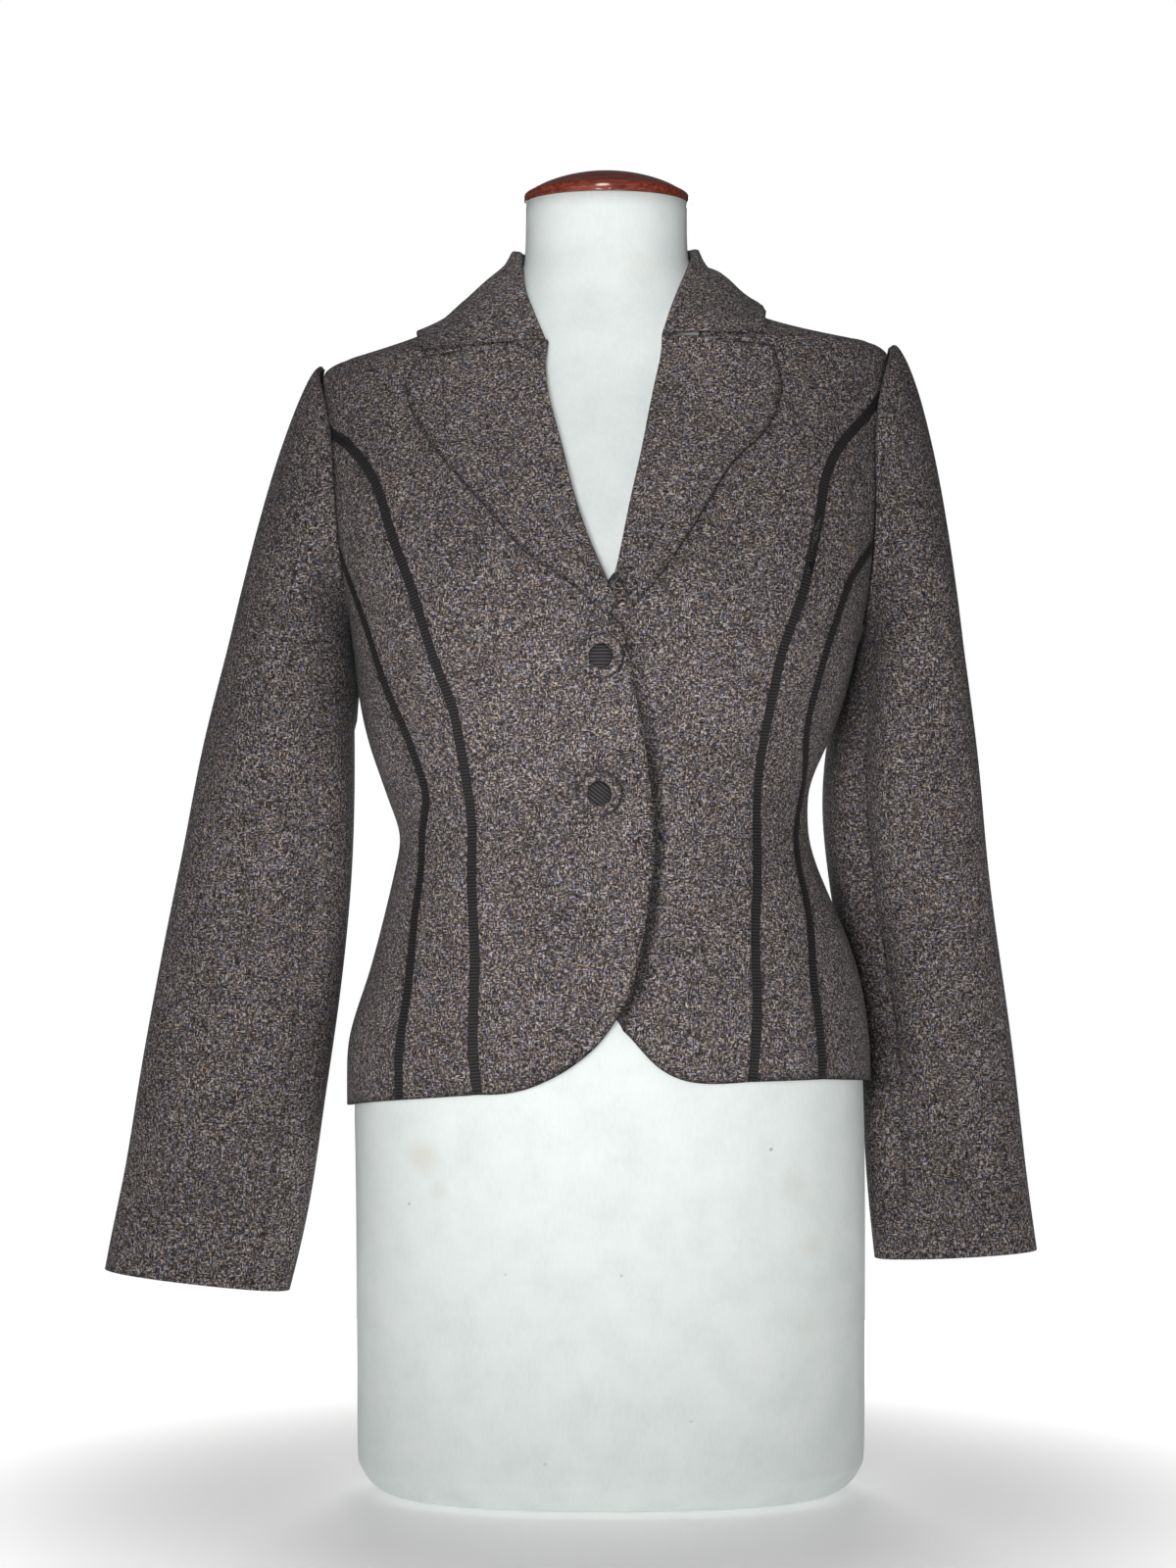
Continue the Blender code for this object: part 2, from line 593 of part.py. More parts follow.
def sleeve(side, word):
    """Two-piece tailored sleeve: an upper and an under piece, open at both ends."""
    outer, seat_away = sleeve_rings(side)
    wrapped = np.concatenate([outer[:, -1:], outer, outer[:, :1]], axis=1)
    out = unit(np.cross(np.gradient(wrapped, axis=1), np.gradient(wrapped, axis=0)))[:, 1:-1]
    middle = outer.mean(axis=1, keepdims=True)
    if np.sum(out * (outer - middle)) < 0:
        out = -out
    out[0] = seat_away
    inner = outer - CLOTH * out
    top_end = SLEEVE_SEAM_FRONT + SLEEVE_POINTS
    pieces = (("top", [j % SLEEVE_POINTS for j in range(SLEEVE_SEAM_BACK, top_end + 1)]),
              ("under", list(range(SLEEVE_SEAM_FRONT, SLEEVE_SEAM_BACK + 1))))
    for kind, columns in pieces:
        gap = inset(outer[:, columns], SEAM_HALF_GAP) - outer[:, columns]
        gap[[0, -1]] = gap[[1, -2]]
        wall("sleeve_%s_%s" % (word, kind), inner[:, columns] + gap, outer[:, columns] + gap, "tweed")


def lathe_rings(profile, centre, axis, across, up, points):
    """Rings of (radius, height) rows turned about an axis."""
    angles = 2 * math.pi * np.arange(points) / points
    circle = np.cos(angles)[:, None] * across + np.sin(angles)[:, None] * up
    return np.array([centre + radius * circle + height * axis for radius, height in profile])


def button(name, x, z, room):
    """Button with a cloth-covered rim round a ribbon-covered centre."""
    turn = turn_at_x(x, z, RIGHT)
    axis = normal(turn, z)
    centre = surface(turn, z) + (overlap_lift(turn, z) + CLOTH + room) * axis
    across = unit(np.cross(np.array([0.0, 0.0, 1.0]), axis))
    up = np.cross(axis, across)
    frame = (centre, axis, across, up, BUTTON_POINTS)
    loop_solid("button_%s_rim" % name, lathe_rings(BUTTON_RING_PROFILE, *frame), "tweed")
    stack("button_%s_face" % name, lathe_rings(BUTTON_FACE_PROFILE, *frame), "grosgrain")


def form_torso():
    """Padded body of the dress form: closed, with a flat underside and flat arm plates."""
    turns = 2 * math.pi * np.arange(FORM_POINTS) / FORM_POINTS
    rings = []
    for degrees in BASE_ROUND_STEPS:
        bend = math.radians(degrees)
        z = BASE_ROUND * (1 - math.sin(bend))
        rings.append((z, BASE_ROUND * (1 - math.cos(bend))))
    rings += [(z, 0.0) for z in FORM_HEIGHTS + (NECK_TOP,)]
    piled = []
    for z, draw_in in rings:
        heights = np.full(FORM_POINTS, float(max(z, 1.0)))
        room = monotone(FORM_ROOM[:, 0], FORM_ROOM[:, 1], heights) + draw_in
        ring = surface(turns, heights) - room[:, None] * normal(turns, heights)
        if z > ARMHOLES[RIGHT][0]:
            ring[:, 0] = np.clip(ring[:, 0], -FORM_ARM_PLATE[RIGHT], FORM_ARM_PLATE[LEFT])
        if z < BASE_ROUND or z == NECK_TOP:
            ring[:, 2] = z
        piled.append(ring)
    stack("form_torso", np.array(piled), "jersey")


def neck_cap():
    """Turned wooden cap on the neck."""
    half_right, half_left, front, back, _ = section(NECK_TOP)
    room = monotone(FORM_ROOM[:, 0], FORM_ROOM[:, 1], NECK_TOP)
    centre = np.array([(half_left - half_right) / 2, (back - front) / 2, NECK_TOP + CAP_CLEAR])
    radius = (half_left + half_right) / 2 - room
    profile = [(radius + more, height) for more, height in CAP_PROFILE]
    x, y, z = np.eye(3)
    stack("neck_cap", lathe_rings(profile, centre, z, x, y, FORM_POINTS), "mahogany")


def collar_lines():
    """Fold and edge of the collar, and the width of its stand, at each station."""
    fold = resample(wrapped_line(COLLAR_FOLD), COLLAR_STATIONS)
    edge = resample(wrapped_line(COLLAR_EDGE), COLLAR_STATIONS)
    place = np.linspace(0, 1, COLLAR_STATIONS + 1)
    swell = np.clip(np.minimum(place, 1 - place) / COLLAR_UNDER_GROWS, 0, 1)
    under = COLLAR_UNDER[0] + (COLLAR_UNDER[1] - COLLAR_UNDER[0]) * swell * swell * (3 - 2 * swell)
    return fold, edge, under, place


def neckline():
    """Line where the panels end under the collar, from the right gorge to the left one."""
    fold, edge, under, _ = collar_lines()
    return share_along(fold, edge, under + NECKLINE_GAP)


def neckline_between(line, first_turn, last_turn):
    """Stretch of the neckline between two turns, which fall along it."""
    falling = line[:, 0]
    keep = line[(falling < first_turn) & (falling > last_turn)]
    ends = [(t, np.interp(-t, -falling, line[:, 1])) for t in (first_turn, last_turn)]
    return np.concatenate([[ends[0]], keep, [ends[1]]])


def lapel_lines(side):
    """Roll line, outer edge, width of the layer under the roll and its swell, from the break up."""
    fold, edge = {RIGHT: (LAPEL_FOLD_RIGHT, LAPEL_EDGE_RIGHT),
                  LEFT: (LAPEL_FOLD_LEFT, LAPEL_EDGE_LEFT)}[side]
    fold = resample(front_line(fold, side), LAPEL_STATIONS)
    edge = resample(front_line(edge, side), LAPEL_STATIONS)
    grow = np.clip(np.linspace(0, 1, LAPEL_STATIONS + 1) / LAPEL_GROWS, 0, 1)
    under = LAPEL_UNDER[0] + (LAPEL_UNDER[1] - LAPEL_UNDER[0]) * grow
    return fold, edge, under, LAPEL_ROLL * grow


def rows_at_heights(line, heights):
    """Points of a rising line at given heights."""
    return np.stack([np.interp(heights, line[:, 1], line[:, 0]), heights], axis=1)


def facing_rows(line, rows, pins=()):
    """Points of a rising line that face the rows of another one, some of them at set heights."""
    known = ((0, line[0, 1]),) + tuple(pins) + ((len(rows) - 1, line[-1, 1]),)
    from_heights = [rows[row, 1] for row, _ in known]
    to_heights = [height for _, height in known]
    return rows_at_heights(line, np.interp(rows[:, 1], from_heights, to_heights))


def jacket_half(side, word):
    """Front, front side, side and back panels of one half, with the ribbons on the seams."""
    first, second, third = ARMHOLES[side][4:]
    angles = (armhole_angle(side, first), armhole_angle(side, second), armhole_angle(side, third, True))
    ends = [armhole_point(side, a) for a in angles]
    if side == RIGHT:
        edge_table, hem_table = FRONT_EDGE_OVER, HEM_FRONT_RIGHT
        front_table, side_table, back_table = FRONT_SEAM_RIGHT, SIDE_SEAM_RIGHT, BACK_SEAM_RIGHT
    else:
        edge_table, hem_table = FRONT_EDGE_UNDER, HEM_FRONT_LEFT
        front_table, side_table, back_table = FRONT_SEAM_LEFT, SIDE_SEAM_LEFT, BACK_SEAM_LEFT

    def seam(table, end):
        points = [(turn_at_x(x, z, side), z) for x, z in table] + [end]
        return resample(smooth_line(points), ROWS)

    front_seam = seam(front_table, ends[0])
    side_seam = seam(side_table, ends[1])
    back_seam = resample(back_line(back_table, side, ends[2]), ROWS)

    mirror = np.array([-side, 1.0])
    whole_neck = neckline()
    if side == LEFT:
        whole_neck = whole_neck[::-1] + np.array([2 * math.pi, 0.0])
    mirrored = whole_neck * mirror
    front_neck = neckline_between(mirrored, mirrored[0, 0], -NECK_POINT_TURN) * mirror
    back_neck = neckline_between(mirrored, -math.pi / 2, -math.pi) * mirror

    lapel_fold, lapel_edge, lapel_under, lapel_roll = lapel_lines(side)
    lapel_line = share_along(lapel_fold, lapel_edge, lapel_under + NECKLINE_GAP)
    front_edge = np.concatenate([front_line(edge_table, side), lapel_line[:-1], front_neck[1:]])

    tip = armhole_point(side, 0.0)
    ridge_turn = np.full(CURVE_DENSITY, side * math.pi / 2)
    ridge = np.stack([ridge_turn, np.linspace(tip[1], back_neck[0, 1], CURVE_DENSITY)], axis=1)
    shoulder = resample(ridge, SHOULDER_ROWS)
    shoulder[0] = tip

    lift = overlap_lift if side == RIGHT else no_lift
    outside = join(front_seam, armhole_line(side, angles[0], 0.0, FRONT_ARMHOLE_ROWS), shoulder)
    inside = facing_rows(front_edge, outside, FRONT_PINS[side])
    hem = resample(front_line(hem_table, side), FRONT_COLUMNS)
    top = resample(np.array([outside[-1], inside[-1]]), FRONT_COLUMNS)
    panel("front_" + word, outside, inside, hem, top, lift)

    top = armhole_line(side, angles[1], angles[0], FRONT_SIDE_COLUMNS)
    hem = resample(np.array([side_seam[0], front_seam[0]]), FRONT_SIDE_COLUMNS)
    panel("front_side_" + word, side_seam, front_seam, hem, top, no_lift)

    top = armhole_line(side, angles[2], angles[1], SIDE_COLUMNS)
    side_hem = (side * math.pi / 2, HEM_SIDE_HEIGHT[side])
    hem = resample(smooth_line([back_seam[0], side_hem, side_seam[0]]), SIDE_COLUMNS)
    panel("side_" + word, back_seam, side_seam, hem, top, no_lift)

    outside = join(back_seam, armhole_line(side, angles[2], 2 * math.pi, BACK_ARMHOLE_ROWS), shoulder)
    centre_back = np.array([(side * math.pi, HEM_BACK_HEIGHT), back_neck[-1]])
    inside = facing_rows(centre_back, outside)
    hem = resample(smooth_line([back_seam[0], inside[0]]), BACK_COLUMNS)
    panel("back_" + word, outside, inside, hem, resample(back_neck, BACK_COLUMNS), no_lift)

    ribbon("ribbon_front_" + word, front_seam, RIBBON_FRONT_TRIM)
    ribbon("ribbon_side_" + word, side_seam, RIBBON_SIDE_TRIM)
    settle = np.full(LAPEL_STATIONS + 1, -EDGE_SETTLE)
    folded_band("lapel_" + word, lapel_fold, lapel_edge, lapel_under, lapel_roll, settle, lift)
    sleeve(side, word)


def collar():
    """One collar piece: a stand round the neck that turns over into the fall."""
    fold, edge, under, place = collar_lines()
    flare = COLLAR_FLARE * np.exp(-((place - COLLAR_FLARE_PLACE) / COLLAR_FLARE_SPREAD) ** 2)
    roll = COLLAR_ROLL * np.ones(len(place))
    folded_band("collar", fold, edge, under, roll, flare, over_side_lift)


def build():
    for old in list(bpy.data.objects):
        bpy.data.objects.remove(old, do_unlink=True)
    jacket_half(RIGHT, "right")
    jacket_half(LEFT, "left")
    collar()
    for row in BUTTONS:
        button(*row)
    form_torso()
    neck_cap()


build()
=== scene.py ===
# %% [markdown]
# # A fitted tweed jacket on a dress form
# The real object is a short women's jacket of salt-and-pepper tweed. It is buttoned on a limbless
# dress form with a pale jersey cover and a varnished wooden neck cap. The solids that come with the
# frame already have every piece at its true size and place. This lesson dresses them: cloth gets
# smooth surfaces, soft creases and a weave, and the hard pieces get their finish.

# %% Load the frame
import math

import bpy
import numpy as np
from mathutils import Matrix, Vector
from mathutils.kdtree import KDTree


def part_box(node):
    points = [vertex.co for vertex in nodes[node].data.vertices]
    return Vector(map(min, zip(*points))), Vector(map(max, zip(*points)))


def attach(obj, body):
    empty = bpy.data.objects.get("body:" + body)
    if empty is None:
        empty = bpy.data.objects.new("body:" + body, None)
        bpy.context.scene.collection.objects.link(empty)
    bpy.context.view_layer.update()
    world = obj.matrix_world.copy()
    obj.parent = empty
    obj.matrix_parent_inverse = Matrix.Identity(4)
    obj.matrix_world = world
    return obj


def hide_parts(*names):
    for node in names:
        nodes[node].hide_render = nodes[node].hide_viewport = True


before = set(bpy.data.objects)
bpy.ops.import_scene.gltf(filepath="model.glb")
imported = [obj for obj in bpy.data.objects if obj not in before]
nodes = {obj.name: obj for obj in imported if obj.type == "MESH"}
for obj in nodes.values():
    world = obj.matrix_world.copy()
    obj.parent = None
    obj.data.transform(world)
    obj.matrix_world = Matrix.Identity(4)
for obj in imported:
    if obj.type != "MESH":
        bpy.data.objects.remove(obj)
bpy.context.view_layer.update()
MM = 0.001

# %% [markdown]
# ## The camera
# The photograph was taken from straight in front, a little over two metres away, with the lens
# level with the jacket's lower half. The camera stands there, tipped up by less than a degree so
# that the neck cap and the form's lower edge both fit. That small tilt replaces a lens shift, which
# would follow the camera into every other view.

# %% Camera
CAMERA_PLACE = Vector((-0.013, -2.2, 0.430))
CAMERA_TILT = math.radians(90.91)
LENS_MM, SENSOR_MM = 76.2, 36
bpy.ops.object.select_all(action="DESELECT")
bpy.ops.object.camera_add(location=CAMERA_PLACE, rotation=(CAMERA_TILT, 0, 0))
camera = bpy.context.object
camera.name = "camera"
camera.data.lens = LENS_MM
camera.data.sensor_width = SENSOR_MM
bpy.context.scene.camera = camera
print("camera:", tuple(round(v, 3) for v in camera.location), "lens", LENS_MM)

# %% [markdown]
# ## Working on one piece at a time
# Blender's operators act on everything that is selected, so each step first lets go of all objects
# and then takes up one. A node arrives as loose triangles. A copy of it has its doubled points
# merged and its triangles joined back into the quads of a cutter's grid, because subdivision
# surfaces flow smoothly along quads and show dimples on triangles. Smoothing also pulls every
# bend inwards, by a millimetre or more on a sleeve. So the grid is first pushed out by as much as
# a trial smoothing pulled it in, and the finished surface keeps the true size. Cut corners, as at
# the notch of a lapel or where a seam meets the armhole, get a crease so that they stay sharp.

# %% Copy a node and tidy its mesh
MERGE_DISTANCE = 0.02 * MM
PAIR_ANGLE = math.radians(70)
GRID_PULL = 2.0
CORNER_TURN = math.radians(30)
PASSES = 3
PLAIN_LEVELS, FINE_LEVELS = 2, 3


def work_on(piece):
    """Lets go of everything, then selects one piece and makes it the active one."""
    bpy.ops.object.select_all(action="DESELECT")
    piece.select_set(True)
    bpy.context.view_layer.objects.active = piece


def copy_of(node_name, name):
    """A new object with a merged copy of a node's mesh, in quads where its triangles pair up."""
    piece = bpy.data.objects.new(name, nodes[node_name].data.copy())
    bpy.context.scene.collection.objects.link(piece)
    piece.data.name = name
    piece.data.materials.clear()
    work_on(piece)
    bpy.ops.mesh.customdata_custom_splitnormals_clear()
    bpy.ops.object.mode_set(mode="EDIT")
    bpy.ops.mesh.select_mode(type="FACE")
    bpy.ops.mesh.select_all(action="SELECT")
    bpy.ops.mesh.remove_doubles(threshold=MERGE_DISTANCE)
    bpy.ops.mesh.tris_convert_to_quads(face_threshold=PAIR_ANGLE, shape_threshold=math.pi,
                                       topology_influence=GRID_PULL)
    bpy.ops.object.mode_set(mode="OBJECT")
    return piece


def twin_of(piece):
    """A copy of a piece, with a mesh of its own."""
    twin = piece.copy()
    twin.data = piece.data.copy()
    bpy.context.scene.collection.objects.link(twin)
    return twin


def apply_modifier(piece, kind, **settings):
    """Adds a modifier with its settings and applies it at once."""
    work_on(piece)
    modifier = piece.modifiers.new(kind.title(), kind)
    for key, value in settings.items():
        setattr(modifier, key, value)
    bpy.ops.object.modifier_apply(modifier=modifier.name)


def open_edges(piece):
    """The edges that only one face uses, each as a pair of point numbers."""
    faces_at = {}
    for face in piece.data.polygons:
        for key in face.edge_keys:
            faces_at[key] = faces_at.get(key, 0) + 1
    return [key for key, count in faces_at.items() if count == 1]


def keep_corners(piece):
    """Gives a full crease to the points where an open edge turns a corner."""
    mesh = piece.data
    mesh.update(calc_edges=True)
    ends = {}
    for first, second in open_edges(piece):
        ends.setdefault(first, []).append(second)
        ends.setdefault(second, []).append(first)
    crease = mesh.attributes.new("crease_vert", "FLOAT", "POINT")
    for corner, (before, after) in ((k, v) for k, v in ends.items() if len(v) == 2):
        place = mesh.vertices[corner].co
        turn = (place - mesh.vertices[before].co).angle(mesh.vertices[after].co - place)
        if turn > CORNER_TURN:
            crease.data[corner].value = 1.0


def smooth_out(piece, levels):
    """Subdivides a piece so that the smooth surface still passes through its grid points."""
    settings = {"levels": levels, "render_levels": levels, "uv_smooth": "NONE",
                "boundary_smooth": "PRESERVE_CORNERS"}
    grid = np.array([v.co for v in piece.data.vertices])
    for _ in range(PASSES):
        trial = twin_of(piece)
        apply_modifier(trial, "SUBSURF", **settings)
        pulled_in = np.array([v.co for v in trial.data.vertices[:len(grid)]])
        held = np.array([v.co for v in piece.data.vertices])
        piece.data.vertices.foreach_set("co", (held + grid - pulled_in).ravel())
        bpy.data.objects.remove(trial)
    apply_modifier(piece, "SUBSURF", **settings)


# %% [markdown]
# ## From a wall to a single layer of cloth
# Each cloth node is a closed wall: an outer layer, an inner layer and a narrow rim. Creases are
# easier to press into one layer, so the rim and the inner layer are deleted for now and come back
# with a Solidify modifier at the end. The two broad layers are found as a hand would find them:
# pick the largest face, select everything that joins on to it without a sharp edge, and compare.
# The outer layer is the larger of the two. A sliver that the flood missed leaves a small hole,
# which is filled again.

# %% Keep the outer layer of a wall
LAYER_ANGLE = math.radians(52)
HOLE_SIDES = 6


def select_faces(piece, wanted):
    """Selects faces by number, ready for edit mode."""
    work_on(piece)
    bpy.ops.object.mode_set(mode="EDIT")
    bpy.ops.mesh.select_mode(type="FACE")
    bpy.ops.mesh.select_all(action="DESELECT")
    bpy.ops.object.mode_set(mode="OBJECT")
    for face in piece.data.polygons:
        face.select = face.index in wanted


def keep_outer_layer(piece):
    """Deletes the rim and the inner layer of a wall."""
    faces = piece.data.polygons
    free = set(range(len(faces)))
    layers = []
    for _ in range(2):
        select_faces(piece, {max(free, key=lambda f: faces[f].area)})
        bpy.ops.object.mode_set(mode="EDIT")
        bpy.ops.mesh.faces_select_linked_flat(sharpness=LAYER_ANGLE)
        bpy.ops.object.mode_set(mode="OBJECT")
        faces = piece.data.polygons
        layer = {face.index for face in faces if face.select}
        layers.append(layer)
        free -= layer
    outer = max(layers, key=lambda layer: sum(faces[f].area for f in layer))
    select_faces(piece, set(range(len(faces))) - outer)
    bpy.ops.object.mode_set(mode="EDIT")
    bpy.ops.mesh.delete(type="FACE")
    bpy.ops.mesh.select_all(action="SELECT")
    bpy.ops.mesh.fill_holes(sides=HOLE_SIDES)
    bpy.ops.object.mode_set(mode="OBJECT")


# %% [markdown]
# ## The jacket's pieces
# The body is cut in eight panels, then come two lapels, the collar and two-piece sleeves. Every one
# is a thin layer on its own solid's form. The sleeves are long between their rings, and the two
# fronts carry the finest shading, so these are subdivided once more than the other pieces.
# Catmull-Clark smoothing is used because it rounds a grid evenly and keeps the seams of neighbouring
# panels side by side.

# %% Single layers of every cloth piece
SIDES = ("right", "left")
PANELS = [kind + "_" + side for kind in ("front", "front_side", "side", "back") for side in SIDES]
FRONTS = PANELS[:2]
TURNED = ["lapel_right", "lapel_left", "collar"]
SLEEVES = ["sleeve_%s_%s" % (side, kind) for side in SIDES for kind in ("top", "under")]
LEVELS = {**dict.fromkeys(PANELS + TURNED, PLAIN_LEVELS),
          **dict.fromkeys(SLEEVES + FRONTS, FINE_LEVELS)}
# Where the facing starts and ends, x and z in millimetres, and how far its edge is drawn on
FACING_FROM, FACING_TO = (-15, 552), (16, 600)
FACING_REACH = (-3.6 * MM, 1.5 * MM, 7.2 * MM)


def draw_on(piece, points, reach):
    """Extrudes the edges between some points of a piece."""
    work_on(piece)
    bpy.ops.object.mode_set(mode="EDIT")
    bpy.ops.mesh.select_mode(type="VERT")
    bpy.ops.mesh.select_all(action="DESELECT")
    bpy.ops.object.mode_set(mode="OBJECT")
    for vertex in piece.data.vertices:
        vertex.select = vertex.index in points
    for edge in piece.data.edges:
        edge.select = all(i in points for i in edge.vertices)
    bpy.ops.object.mode_set(mode="EDIT")
    bpy.ops.mesh.extrude_edges_move(TRANSFORM_OT_translate={"value": reach})
    bpy.ops.object.mode_set(mode="OBJECT")


def add_facing(piece):
    """Draws the under front's edge on below the lapels, where its facing closes the neckline."""
    points = set()
    for point in {point for key in open_edges(piece) for point in key}:
        x, y, z = piece.data.vertices[point].co / MM
        if FACING_FROM[0] < x < FACING_TO[0] and FACING_FROM[1] < z < FACING_TO[1] and y < 0:
            points.add(point)
    draw_on(piece, points, FACING_REACH)
    print("facing drawn from", len(points), "points")


cloth = {}
for node_name, levels in LEVELS.items():
    piece = copy_of(node_name, node_name + "_cloth")
    keep_outer_layer(piece)
    if node_name == "front_left":
        add_facing(piece)
    keep_corners(piece)
    quads = len(piece.data.polygons)
    smooth_out(piece, levels)
    cloth[node_name] = piece
    print(node_name, "grid faces:", quads, "smooth faces:", len(piece.data.polygons))

# %% [markdown]
# ## Creases placed one by one
# A pressed wool jacket has few creases, and all of them are shallow: drag lines at the elbows and
# armholes, small pulls beside the buttons, soft waves where the skirt flares over the hip. Each is
# a row of a table: its two ends in millimetres seen from the front, how far it bows, its half width
# and its depth, below zero for a trough and above for a ridge. A cloth simulation would crumple
# the tailored shape, so the points are moved along their normals instead. Rows on the back are
# made up in the same style, because the photograph doesn't show it.

# %% Crease tables
FRONT, BACK, ALL_ROUND = -1, 1, 0
# Side of the body, first end x and z, second end x and z, bow, half width, depth
BODY_CREASES = (
    (FRONT, -22, 549, -84, 592, 4, 13, -0.9),
    (FRONT, -24, 456, -78, 437, -5, 12, -1.0),
    (FRONT, 48, 452, 90, 424, 4, 13, -1.1),
    (FRONT, 104, 388, 107, 282, 2, 8, -1.7),
    (FRONT, 117, 372, 121, 280, -2, 7, 1.3),
    (FRONT, 149, 360, 152, 276, 2, 8, -1.4),
    (FRONT, -107, 366, -113, 272, -2, 9, -1.4),
    (FRONT, -143, 352, -150, 266, 2, 8, 1.1),
    (FRONT, -116, 436, -90, 421, 3, 8, -1.3),
    (FRONT, 122, 440, 98, 424, -3, 8, -1.2),
    (FRONT, -152, 612, -112, 574, 6, 12, -1.3),
    (FRONT, 152, 622, 108, 578, -6, 12, -1.3),
    (FRONT, -60, 345, -30, 300, 3, 11, -0.8),
    (FRONT, 60, 352, 44, 300, -3, 10, -0.8),
    (BACK, -34, 472, -96, 449, 6, 11, -1.7),
    (BACK, 30, 464, 97, 446, 5, 12, -1.9),
    (BACK, -88, 424, -22, 436, -4, 10, -1.3),
    (BACK, 92, 420, 40, 430, 4, 9, -1.1),
    (BACK, -128, 650, -60, 602, 8, 14, -1.7),
    (BACK, 130, 658, 66, 612, -9, 15, -1.8),
    (BACK, -55, 380, -62, 270, 3, 12, -1.5),
    (BACK, 70, 374, 80, 276, -3, 11, -1.4),
    (BACK, 24, 366, 28, 272, 2, 10, 1.1),
)
SLEEVE_CREASES = {
    "right": (
        (ALL_ROUND, -168, 604, -168, 500, 0, 12, 4.6),
        (FRONT, -180, 606, -228, 520, 7, 13, -2.2),
        (FRONT, -172, 462, -246, 432, -6, 14, -1.9),
        (FRONT, -174, 406, -238, 374, 5, 11, -1.5),
        (FRONT, -206, 560, -268, 210, 5, 24, 1.6),
        (FRONT, -186, 316, -252, 288, -4, 10, -1.1),
        (FRONT, -200, 236, -240, 220, 3, 9, -0.8),
        (BACK, -184, 600, -244, 506, -8, 15, -2.6),
        (BACK, -176, 448, -262, 470, 8, 13, -2.3),
        (BACK, -178, 420, -272, 424, -6, 11, -1.9),
        (BACK, -182, 384, -262, 372, 5, 10, -1.4),
        (BACK, -210, 300, -282, 310, 4, 12, -1.1),
    ),
    "left": (
        (FRONT, 168, 344, 212, 360, 3, 7, -1.6),
        (FRONT, 172, 412, 216, 440, -5, 10, -1.4),
        (FRONT, 178, 334, 184, 270, 2, 6, -1.7),
        (FRONT, 206, 560, 226, 220, -4, 22, 1.5),
        (FRONT, 188, 204, 191, 172, 1, 5, -0.9),
        (FRONT, 176, 300, 236, 318, 4, 9, -0.9),
        (FRONT, 196, 596, 226, 540, 5, 12, -1.6),
        (BACK, 176, 606, 226, 506, 8, 15, -2.5),
        (BACK, 160, 446, 236, 468, -7, 13, -2.2),
        (BACK, 162, 414, 244, 420, 5, 11, -1.8),
        (BACK, 168, 372, 236, 362, -4, 9, -1.2),
        (BACK, 190, 280, 250, 292, 3, 11, -1.0),
    ),
}
# The collar's fall is full where it turns over the neck
COLLAR_CREASES = (
    (ALL_ROUND, -60, 822, -106, 776, 4, 13, 4.6),
    (ALL_ROUND, 66, 806, 106, 781, 2, 10, 5.2),
)
CREASE_STEPS = 24
FADE_POWER = 0.7
# A point moves in full once its normal leans 30 degrees towards the crease's side
FACING_GAIN = 2

# %% [markdown]
# A crease is deepest along its middle and fades to nothing at its ends. The distance from every
# point of the cloth to the crease line is measured as seen from the front, and a bell curve of that
# distance sets how far the point moves. Points that face away from the crease's side stay put.

# %% Press the creases in
def vertex_arrays(piece):
    """The places and normals of all points, as rows of x, y and z."""
    count = len(piece.data.vertices)
    places, normals = np.empty(count * 3), np.empty(count * 3)
    piece.data.vertices.foreach_get("co", places)
    piece.data.vertex_normals.foreach_get("vector", normals)
    return places.reshape(-1, 3), normals.reshape(-1, 3)


def move_points(piece, places):
    """Writes the new places of all points."""
    piece.data.vertices.foreach_set("co", places.ravel())
    piece.data.update()


def press_creases(piece, rows):
    """Moves a piece's points along their normals, by the sum of all creases in a table."""
    places, normals = vertex_arrays(piece)
    seen = places[:, [0, 2]] / MM
    move = np.zeros(len(places))
    for side, x0, z0, x1, z1, bow, half_width, depth in rows:
        start, end = np.array([x0, z0]), np.array([x1, z1])
        across = np.array([z0 - z1, x1 - x0]) / np.hypot(x1 - x0, z1 - z0)
        steps = np.linspace(0, 1, CREASE_STEPS)[:, None]
        line = start + (end - start) * steps + bow * np.sin(math.pi * steps) * across
        gaps = np.linalg.norm(seen[:, None, :] - line[None], axis=2)
        nearest = gaps.argmin(axis=1)
        fade = np.sin(math.pi * steps[nearest, 0]) ** FADE_POWER
        facing = np.clip(side * normals[:, 1] * FACING_GAIN, 0, 1) if side else 1.0
        move += depth * np.exp(-(gaps.min(axis=1) / half_width) ** 2) * fade * facing
    places += normals * (move * MM)[:, None]
    move_points(piece, places)
    print(piece.name, "pressed by up to", round(float(abs(move).max()), 2), "mm")


for node_name in PANELS:
    press_creases(cloth[node_name], BODY_CREASES)
for side, rows in SLEEVE_CREASES.items():
    for kind in ("top", "under"):
        press_creases(cloth["sleeve_%s_%s" % (side, kind)], rows)
press_creases(cloth["collar"], COLLAR_CREASES)

# %% [markdown]
# ## Square shoulders
# A tailored shoulder is built up with a pad and a strip of wadding in the sleeve head, so its line
# runs nearly straight to the sleeve and ends in a small roll. The solids round it off. As with
# proportional editing, all points above the chest are raised or lowered by an amount that depends
# on how far out they lie, and the same is done to all the cloth, so that it stays together. In the
# same way the right lapel is drawn in where it meets the collar, so that its fold runs on in one line.

